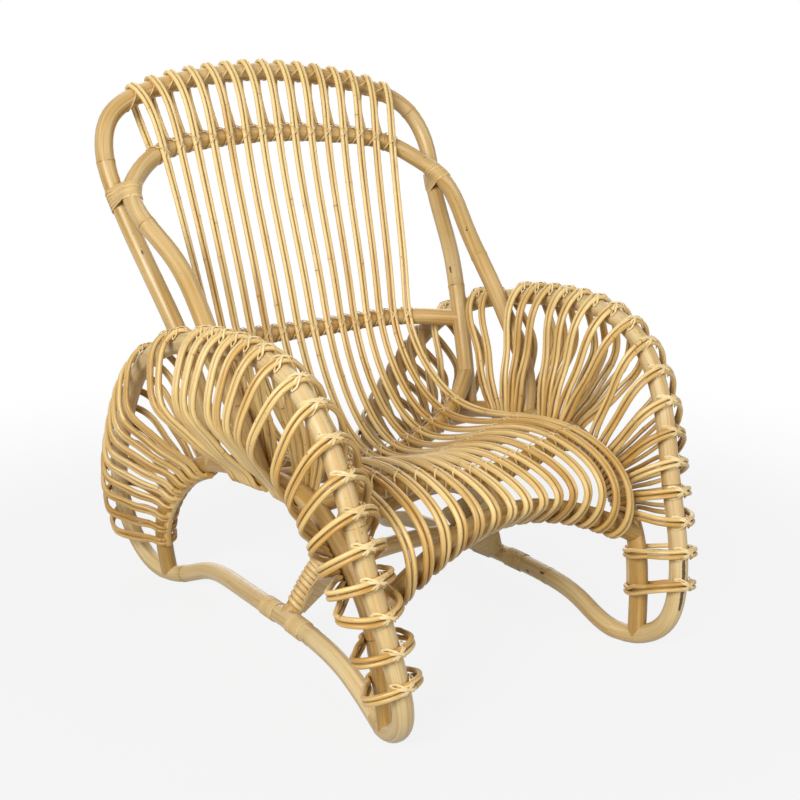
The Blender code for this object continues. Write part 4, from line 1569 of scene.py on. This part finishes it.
    def build(self, shop: Workshop) -> None:
        """Make the loops, cover strips and ties of both arms.

        Args:
            shop: where the objects are made.
        """
        on_loop, on_arch = self.marks()
        for side in Side:
            loop, arch = self.lines.loop, self.lines.arch
            if side is Side.RIGHT:
                loop, arch = loop.mirrored(), arch.mirrored()
            first = 0
            strips = []
            for group, count in enumerate(self.groups, start=1):
                numbers = range(first, first + count)
                seed = self.ring_seed * (2 + side.value)
                rings = [self.ring(loop, on_loop[i], arch, on_arch[i], seed + i) for i in numbers]
                node = f"{side.word}_arm_loops_{group}"
                shop.make(f"{node}_canes", Surface.joined(rings), Slot.CANE, node)
                start, stop = on_arch[first] - self.overhang, on_arch[first + count - 1] + self.overhang
                strips.append(self.strip(arch, start, stop, seed + self.strip_seed + group))
                first += count
            shop.make(f"{side.word}_cover_strips", Surface.joined(strips), Slot.CANE)
            ties = [self.tie(loop, mark, self.tie_seed + i) for i, mark in enumerate(on_loop)]
            shop.make(f"{side.word}_arm_ties", Surface.joined(ties), Slot.BINDING)

    def tie(self, loop: Curve, mark: float, seed: int) -> Surface:
        """The crossed strands that hold a loop to the side loop.

        Args:
            loop: the side loop's line.
            mark: the distance along it.
            seed: picks the strands' shades.

        Returns:
            Both strands.
        """
        station = Station.on(loop, mark)
        drop = 1 / (2 * self.bulge(station.point[2]))
        dice = np.random.default_rng(seed)
        return Surface.joined(
            crossed_strand(station, tilt, lift, drop, self.tie_tint * dice.uniform())
            for tilt, lift in zip((self.tie_tilt, -self.tie_tilt), self.tie_lifts)
        )


# How high a pair of canes stands over a pole, beside the pair's middle, both in radii of a cane.
PAIR_SLIDES = np.array([0.0, 1.0, 1.6, 2.0, 2.35, 2.8])
PAIR_HEIGHTS = np.array([2.0, 2.0, 1.75, 1.05, 0.4, 0.0])

# How far a crossed strand has slid along the pole, in shares of its tilt, by its turn in degrees.
TIE_TURNS = [0.0, 40.0, 60.0, 120.0, 180.0]
TIE_SLIDES = [0.0, 1.0, 1.0, 0.6, 0.0]
TIE_POINTS = 80

# How evenly a crossed strand's points are set round it: 1 is even, and less draws them to the crossing.
TIE_EASE = 0.45

# How much of a bound strand's sideways place its flat side faces.
STRAND_LEAN = 0.6


def bound_height(turns: Array, aside: Array, slide: Array, lift: float, drop: float) -> Array:
    """Height over a pole's centre of a strand bound over a pair of canes.

    The canes' own height o runs from 2 r over their middles to zero past their edges, by the slide
    along the pole. With the share w = o / 2 r, the height is R (cos t (1 - w) + w) - drop aside^2 w + o.

    Args:
        turns: the strand's turn t from the top of the pole at each point.
        aside: its distance to the side of the pole's centre.
        slide: its distance along the pole from the pair's middle.
        lift: how far it stands off.
        drop: how fast the canes fall away to the sides.

    Returns:
        The height at each point.
    """
    skin = STOCK.bound + lift
    over = np.interp(np.abs(slide), PAIR_SLIDES * STOCK.cane, PAIR_HEIGHTS * STOCK.cane)
    share = over / (2 * STOCK.cane)
    return skin * (np.cos(turns) * (1 - share) + share) - drop * aside**2 * share + over


def crossed_strand(station: Station, tilt: float, lift: float, drop: float, tint: float) -> Surface:
    """One strand of a crossed tie: a ring round the pole and the canes, tilted along the pole.

    At turn t from the top it lies at pole + side R sin t + out h(t) + way slide(t). The slide grows to
    the tilt within 40 degrees of the top, past the canes' edge, and closes again below the pole.

    Args:
        station: where it goes round the pole.
        tilt: how far it slides along the pole, to either side.
        lift: how far it stands off.
        drop: how fast the canes fall away to the sides.
        tint: its shade.

    Returns:
        The strand's surface.
    """
    pole, way, out, side = station
    share = np.linspace(-1.0, 1.0, TIE_POINTS, endpoint=False)
    turns = math.pi * (TIE_EASE * share + (1 - TIE_EASE) * share**3)
    aside = (STOCK.bound + lift) * np.sin(turns)
    slide = tilt * np.sign(turns) * np.interp(np.degrees(np.abs(turns)), TIE_TURNS, TIE_SLIDES)
    height = bound_height(turns, aside, slide, lift, drop)
    path = pole + np.outer(aside, side) + np.outer(height, out) + np.outer(slide, way)
    outward = np.outer(aside * STRAND_LEAN, side) + np.outer(height, out)
    return strand(path, outward, tint, flat_section(STOCK.tie_width, STOCK.strand_thickness), closed=True)


@dataclass(frozen=True)
class Winding:
    """How one kind of binding is wound: its strand, how far it sinks in, and its points in a turn."""

    width: float
    tint: float
    sink: float
    steps: int
    dome: float = 0.9

    @property
    def radius(self) -> float:
        """The distance from the pole's centre to the strand's middle."""
        return STOCK.pole + STOCK.wound_thickness / 2 - self.sink

    def turns(self, count: int) -> Array:
        """Places along a number of turns, counted in turns."""
        return np.linspace(0.0, count, count * self.steps)

    def strand(self, path: Array, outward: Array) -> Surface:
        """The wound strand, domed so that a groove shows between its turns."""
        section = flat_section(self.width, STOCK.wound_thickness, self.dome)
        return strand(path, outward, self.tint, section)


@dataclass
class Bindings:
    """The cane peel: strands wound along the slatted rails, lashings, joint wraps and runner bands."""

    lines: ChairLines
    slats: SlatSet
    spiral_steps: int = 60
    spiral_edge: float = 2.1 * STOCK.cane
    spiral_tints: Range = (0.2, 0.6)
    crossing_lift: float = 0.0008
    lashing_wind: Winding = Winding(width=0.0062, tint=0.95, sink=0.0002, steps=56)
    lashing_turns: int = 6
    lashing_length: float = 0.03
    wrap_wind: Winding = Winding(width=0.0062, tint=0.8, sink=0.0, steps=60)
    wrap_turns: int = 19
    wrap_length: float = 0.07
    wrap_start: float = 0.002
    runner_wind: Winding = Winding(width=0.0046, tint=0.75, sink=0.0003, steps=40)
    runner_turns: int = 9
    runner_length: float = 0.036
    runner_set_off: float = 0.021

    def slide(self, name: str, away: Array, step: float) -> Array:
        """How far a spiral has slid along its rail from the nearest slat.

        On the rear hoop it runs on from slat to slat. On the others it goes to the slat's edge at once.

        Args:
            name: the rail's short name.
            away: how far on the strand is from the slat, from -0.5 to 0.5 of the way to the next.
            step: the distance between slats.

        Returns:
            The distance along the rail.
        """
        edge = self.spiral_edge
        if name == "outer":
            knots = [-0.5, -0.42, -0.23, -0.12, 0.0, 0.5]
            return np.interp(away, knots, [edge - step, 1.1 * edge - step, -0.8 * edge, 0.0, 0.0, edge])
        reach = np.interp(np.abs(away), [0.0, 0.1, 0.27, 0.5], [0.0, edge, 1.2 * edge, step / 2])
        return np.sign(away) * reach

    def spiral(self, name: str, hand: int, lift: float) -> Surface:
        """A strand wound along a rail, once round for each slat: turn t = 2 pi (k - nearest slat).

        Args:
            name: the rail's short name among the slats' rails.
            hand: 1 or -1, the way it winds.
            lift: how far it stands off, so that two strands can cross.

        Returns:
            The strand.
        """
        line, pitch = self.slats.rails()[name]
        count = SLATS.count
        numbers = np.arange(count)
        places = np.array([line.where(0, offset) for offset in (numbers - count // 2) * pitch])
        k = np.linspace(-0.5, count - 0.5, count * self.spiral_steps + 1)
        nearest = np.clip(np.floor(k + 0.5), 0, count - 1)
        turns = TAU * (k - nearest) * hand
        slide = self.slide(name, k - nearest, (places[-1] - places[0]) / (count - 1))
        marks = np.interp(nearest, numbers, places) + slide
        ways = line.ways(marks)
        out = square(between(k, numbers, np.array(self.slats.leans[name])), ways)
        side = np.cross(ways, out)
        aside = (STOCK.bound + lift) * np.sin(turns)
        if name == "outer":
            height = STOCK.bound * np.cos(turns)
        else:
            height = bound_height(turns, aside, slide, lift, drop=0.0)
        path = line.at(marks) + side * aside[:, None] + out * height[:, None]
        outward = side * aside[:, None] * STRAND_LEAN + out * height[:, None]
        tint = self.spiral_tints[hand > 0]
        return strand(path, outward, tint, flat_section(STOCK.spiral_width, STOCK.strand_thickness))

    @staticmethod
    def round_pair(near: Array, far: Array, axis: Array, share: Array, radius: float) -> tuple[Array, Array]:
        """Points and normals of the taut outline round two circles: two half turns and two straights.

        Args:
            near: centres of one circle, a row for each point.
            far: centres of the other.
            axis: the direction that the outlines are square to.
            share: how far round each point lies, in turns.
            radius: the circles' radius.

        Returns:
            The points and their outward normals.
        """
        across = square(far - near, np.broadcast_to(axis, near.shape))
        side = np.cross(axis, across)
        gap = np.sum((far - near) * across, axis=1)
        bend = math.pi * radius
        run = np.mod(share, 1.0) * 2 * (bend + gap)
        first = run < bend
        second = (run >= bend) & (run < bend + gap)
        third = (run >= bend + gap) & (run < 2 * bend + gap)
        turn = np.where(first, run / radius - math.pi / 2, (run - bend - gap) / radius + math.pi / 2)
        turn = np.where(second, math.pi / 2, np.where(first | third, turn, 3 * math.pi / 2))
        normal = across * np.cos(turn)[:, None] + side * np.sin(turn)[:, None]
        slide = np.where(second, bend - run, np.where(first | third, 0.0, run - 2 * bend - gap))
        centre = np.where((first | second)[:, None], far, near)
        return centre + normal * radius + across * slide[:, None], normal

    def lashing(self) -> Surface:
        """The +X lashing: turns round both hoops where they cross.

        Returns:
            The lashing's strand.
        """
        outer, inner = self.lines.outer, self.lines.inner
        mark = outer.where(2, self.lines.sizes.lashing_height, after=outer.half)
        way = outer.ways(mark)
        inner_mark = inner.crossing((inner.points - outer.at(mark)) @ way, after=inner.half)
        turns = self.lashing_wind.turns(self.lashing_turns)
        slide = self.lashing_length * (turns / self.lashing_turns - 0.5)
        near, far = inner.at(inner_mark + slide), outer.at(mark + slide)
        axis = unit(way + inner.ways(inner_mark))
        return self.lashing_wind.strand(*self.round_pair(near, far, axis, turns, self.lashing_wind.radius))

    def joint_wrap(self) -> Surface:
        """The +X fan of turns round the stretcher and the under-seat arch, from the runner inward.

        Returns:
            The wrap's strand.
        """
        low, high = self.lines.rails["base_stretcher"], self.lines.rails["under_seat_arch"]
        turns = self.wrap_wind.turns(self.wrap_turns)
        reach = high.at(high.length)[0] - self.wrap_start - self.wrap_length * turns / self.wrap_turns
        near, far = self.at_x(low, reach), self.at_x(high, reach)
        axis = unit(near[-1] + far[-1] - near[0] - far[0])
        return self.wrap_wind.strand(*self.round_pair(near, far, axis, turns, self.wrap_wind.radius))

    @staticmethod
    def at_x(line: Curve, reach: Array) -> Array:
        """Points of a line's +X half at values of x."""
        middle = len(line.points) // 2
        return line.at(np.interp(reach, line.points[middle:, 0], line.marks[middle:]))

    def runner_band(self, start: float) -> Surface:
        """Turns round the +X runner: at turn t the strand lies at the runner + side cos t + out sin t.

        Args:
            start: the distance along the side loop at which they start.

        Returns:
            The band's strand.
        """
        loop = self.lines.loop
        turns = self.runner_wind.turns(self.runner_turns)
        marks = start + self.runner_length * turns / self.runner_turns
        ways = loop.ways(marks)
        side = square(X_AXIS, ways)
        out = np.cross(side, ways)
        normal = side * np.cos(TAU * turns)[:, None] + out * np.sin(TAU * turns)[:, None]
        return self.runner_wind.strand(loop.at(marks) + normal * self.runner_wind.radius, normal)

    @staticmethod
    def both(shop: Workshop, node: str, surface: Surface) -> None:
        """Make a +X binding and its mirror image.

        Args:
            shop: where the objects are made.
            node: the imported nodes' name, without the side.
            surface: the +X binding.
        """
        for side in Side:
            shape = surface.mirrored() if side is Side.RIGHT else surface
            shop.make(f"{side.word}_{node}_turns", shape, Slot.BINDING, f"{side.word}_{node}")

    def build(self, shop: Workshop) -> None:
        """Make every binding.

        Args:
            shop: where the objects are made.
        """
        for name in ("outer", "inner", "lumbar", "rear", "middle", "front"):
            hands = [self.spiral(name, -1, 0.0)]
            if name != "outer":
                hands.append(self.spiral(name, 1, self.crossing_lift))
            shop.make(f"slat_ties_{name}", Surface.joined(hands), Slot.BINDING)
        self.both(shop, "hoop_lashing", self.lashing())
        self.both(shop, "joint_wrap", self.joint_wrap())
        loop, s = self.lines.loop, self.lines.sizes
        middle = loop.where(1, s.stretcher_y, after=self.lines.rear_foot_mark)
        starts = {
            "rear": middle - self.runner_set_off - self.runner_length,
            "front": middle + self.runner_set_off,
        }
        for end, start in starts.items():
            self.both(shop, f"runner_binding_{end}", self.runner_band(start))


@dataclass(frozen=True)
class Lamp:
    """A square soft lamp that faces the chair: its place, its width in metres and its power in watts."""

    name: str
    place: Place
    size: float
    power: float
    aim: Place = (0.0, 0.0, 0.4)

    def build(self) -> None:
        """Set the lamp up."""
        data = bpy.data.lights.new(self.name, "AREA")
        data.shape = "SQUARE"
        data.size = self.size
        data.energy = self.power
        made = bpy.data.objects.new(self.name, data)
        made.location = self.place
        made.rotation_mode = "QUATERNION"
        made.rotation_quaternion = (Vector(self.aim) - Vector(self.place)).to_track_quat("-Z", "Y")
        bpy.context.scene.collection.objects.link(made)


LAMPS = (
    Lamp("key", (-2.6, -1.45, 1.82), 1.5, 108.0),
    Lamp("front", (0.5, -2.9, 1.5), 1.6, 40.0),
    Lamp("top", (0.2, 0.4, 2.8), 2.0, 10.0),
    Lamp("back", (1.9, 2.7, 1.8), 3.4, 76.0),
)


@dataclass
class Studio:
    """A pale floor, soft lamps, a white surround and the camera of the photograph."""

    camera_place: Place = (-1.0660, -1.4890, 0.8439)
    azimuth: float = -36.68
    elevation: float = 15.28
    lens: float = 54.98
    sensor: float = 36.0
    floor_half: float = 60.0
    floor_grey: Colour = (0.36, 0.36, 0.36)
    floor_glow: float = 0.86
    glow_range: Range = (0.6, 1.7)
    surround: float = 0.05
    white: Colour = (1.0, 1.0, 1.0)

    def camera(self) -> None:
        """The camera, at the photograph's place and angle."""
        turn, rise = math.radians(self.azimuth), math.radians(self.elevation)
        back = Vector((math.sin(turn) * math.cos(rise), -math.cos(turn) * math.cos(rise), math.sin(rise)))
        data = bpy.data.cameras.new("camera")
        data.lens = self.lens
        data.sensor_width = self.sensor
        data.sensor_fit = "HORIZONTAL"
        made = bpy.data.objects.new("camera", data)
        made.location = self.camera_place
        made.rotation_mode = "QUATERNION"
        made.rotation_quaternion = (-back).to_track_quat("-Z", "Y")
        bpy.context.scene.collection.objects.link(made)
        bpy.context.scene.camera = made

    @staticmethod
    def seen(graph: Graph) -> Value:
        """One where the surround is seen straight, in a gloss or through glass, and else zero.

        Args:
            graph: the node tree that asks.

        Returns:
            One or zero.
        """
        path = graph.add("ShaderNodeLightPath")
        rays = [Value(graph, path.outputs[f"Is {kind} Ray"]) for kind in ("Camera", "Glossy", "Transmission")]
        return (rays[0] + rays[1] + rays[2]).clamped()

    def floor_finish(self) -> bpy.types.Material:
        """The floor's material: a plain grey that glows white where it is seen, more so far away.

        Returns:
            The material.
        """
        made = bpy.data.materials.new("studio_floor")
        made.use_nodes = True
        graph = Graph(made.node_tree)
        plain = graph.add("ShaderNodeBsdfDiffuse", inputs={"Color": opaque(self.floor_grey)})
        glow = graph.add("ShaderNodeEmission", inputs={"Color": opaque(self.white), "Strength": 1.0})
        place = graph.add("ShaderNodeTexCoord").outputs["Object"]
        length = graph.add("ShaderNodeVectorMath", {"operation": "LENGTH"}, {0: place})
        away = Value(graph, length.outputs["Value"]).smooth(*self.glow_range)
        share = self.seen(graph) * (away * (1.0 - self.floor_glow) + self.floor_glow)
        mixed = graph.add("ShaderNodeMixShader", inputs={0: share, 1: plain.outputs[0], 2: glow.outputs[0]})
        graph.add("ShaderNodeOutputMaterial", inputs={"Surface": mixed.outputs[0]})
        return made

    def floor(self) -> None:
        """A wide white floor that keeps the chair's shadow."""
        half = self.floor_half
        corners = [(-half, -half, 0.0), (half, -half, 0.0), (half, half, 0.0), (-half, half, 0.0)]
        mesh = bpy.data.meshes.new("floor")
        mesh.from_pydata(corners, [], [(0, 1, 2, 3)])
        mesh.materials.append(self.floor_finish())
        made = bpy.data.objects.new("floor", mesh)
        bpy.context.scene.collection.objects.link(made)
        made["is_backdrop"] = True

    def world(self) -> None:
        """A surround that is white where it is seen and lights softly."""
        made = bpy.data.worlds.new("surround")
        made.use_nodes = True
        graph = Graph(made.node_tree)
        strength = self.seen(graph) * (1.0 - self.surround) + self.surround
        light = graph.add("ShaderNodeBackground", inputs={"Color": opaque(self.white), "Strength": strength})
        graph.add("ShaderNodeOutputWorld", inputs={"Surface": light.outputs[0]})
        bpy.context.scene.world = made

    def build(self) -> None:
        """Set up the whole studio."""
        self.camera()
        self.floor()
        self.world()
        for lamp in LAMPS:
            lamp.build()
        bpy.context.scene.view_settings.view_transform = "Standard"


def write_sizes() -> None:
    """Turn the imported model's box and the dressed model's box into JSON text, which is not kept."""
    boxes = {"cad": CAD_BOX, "visual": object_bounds()}
    json.dumps({name: [list(corner) for corner in box] for name, box in boxes.items()})


def main() -> None:
    """Build the dressed chair and its studio."""
    logging.basicConfig(level=logging.INFO)
    Studio().build()
    shop = Workshop()
    lines = ChairLines(ChairSizes())
    PoleFrame(lines).build(shop)
    slats = SlatSet(lines)
    slats.build(shop)
    ArmLoops(lines).build(shop)
    Bindings(lines, slats).build(shop)
    write_sizes()


if __name__ == "__main__":
    main()
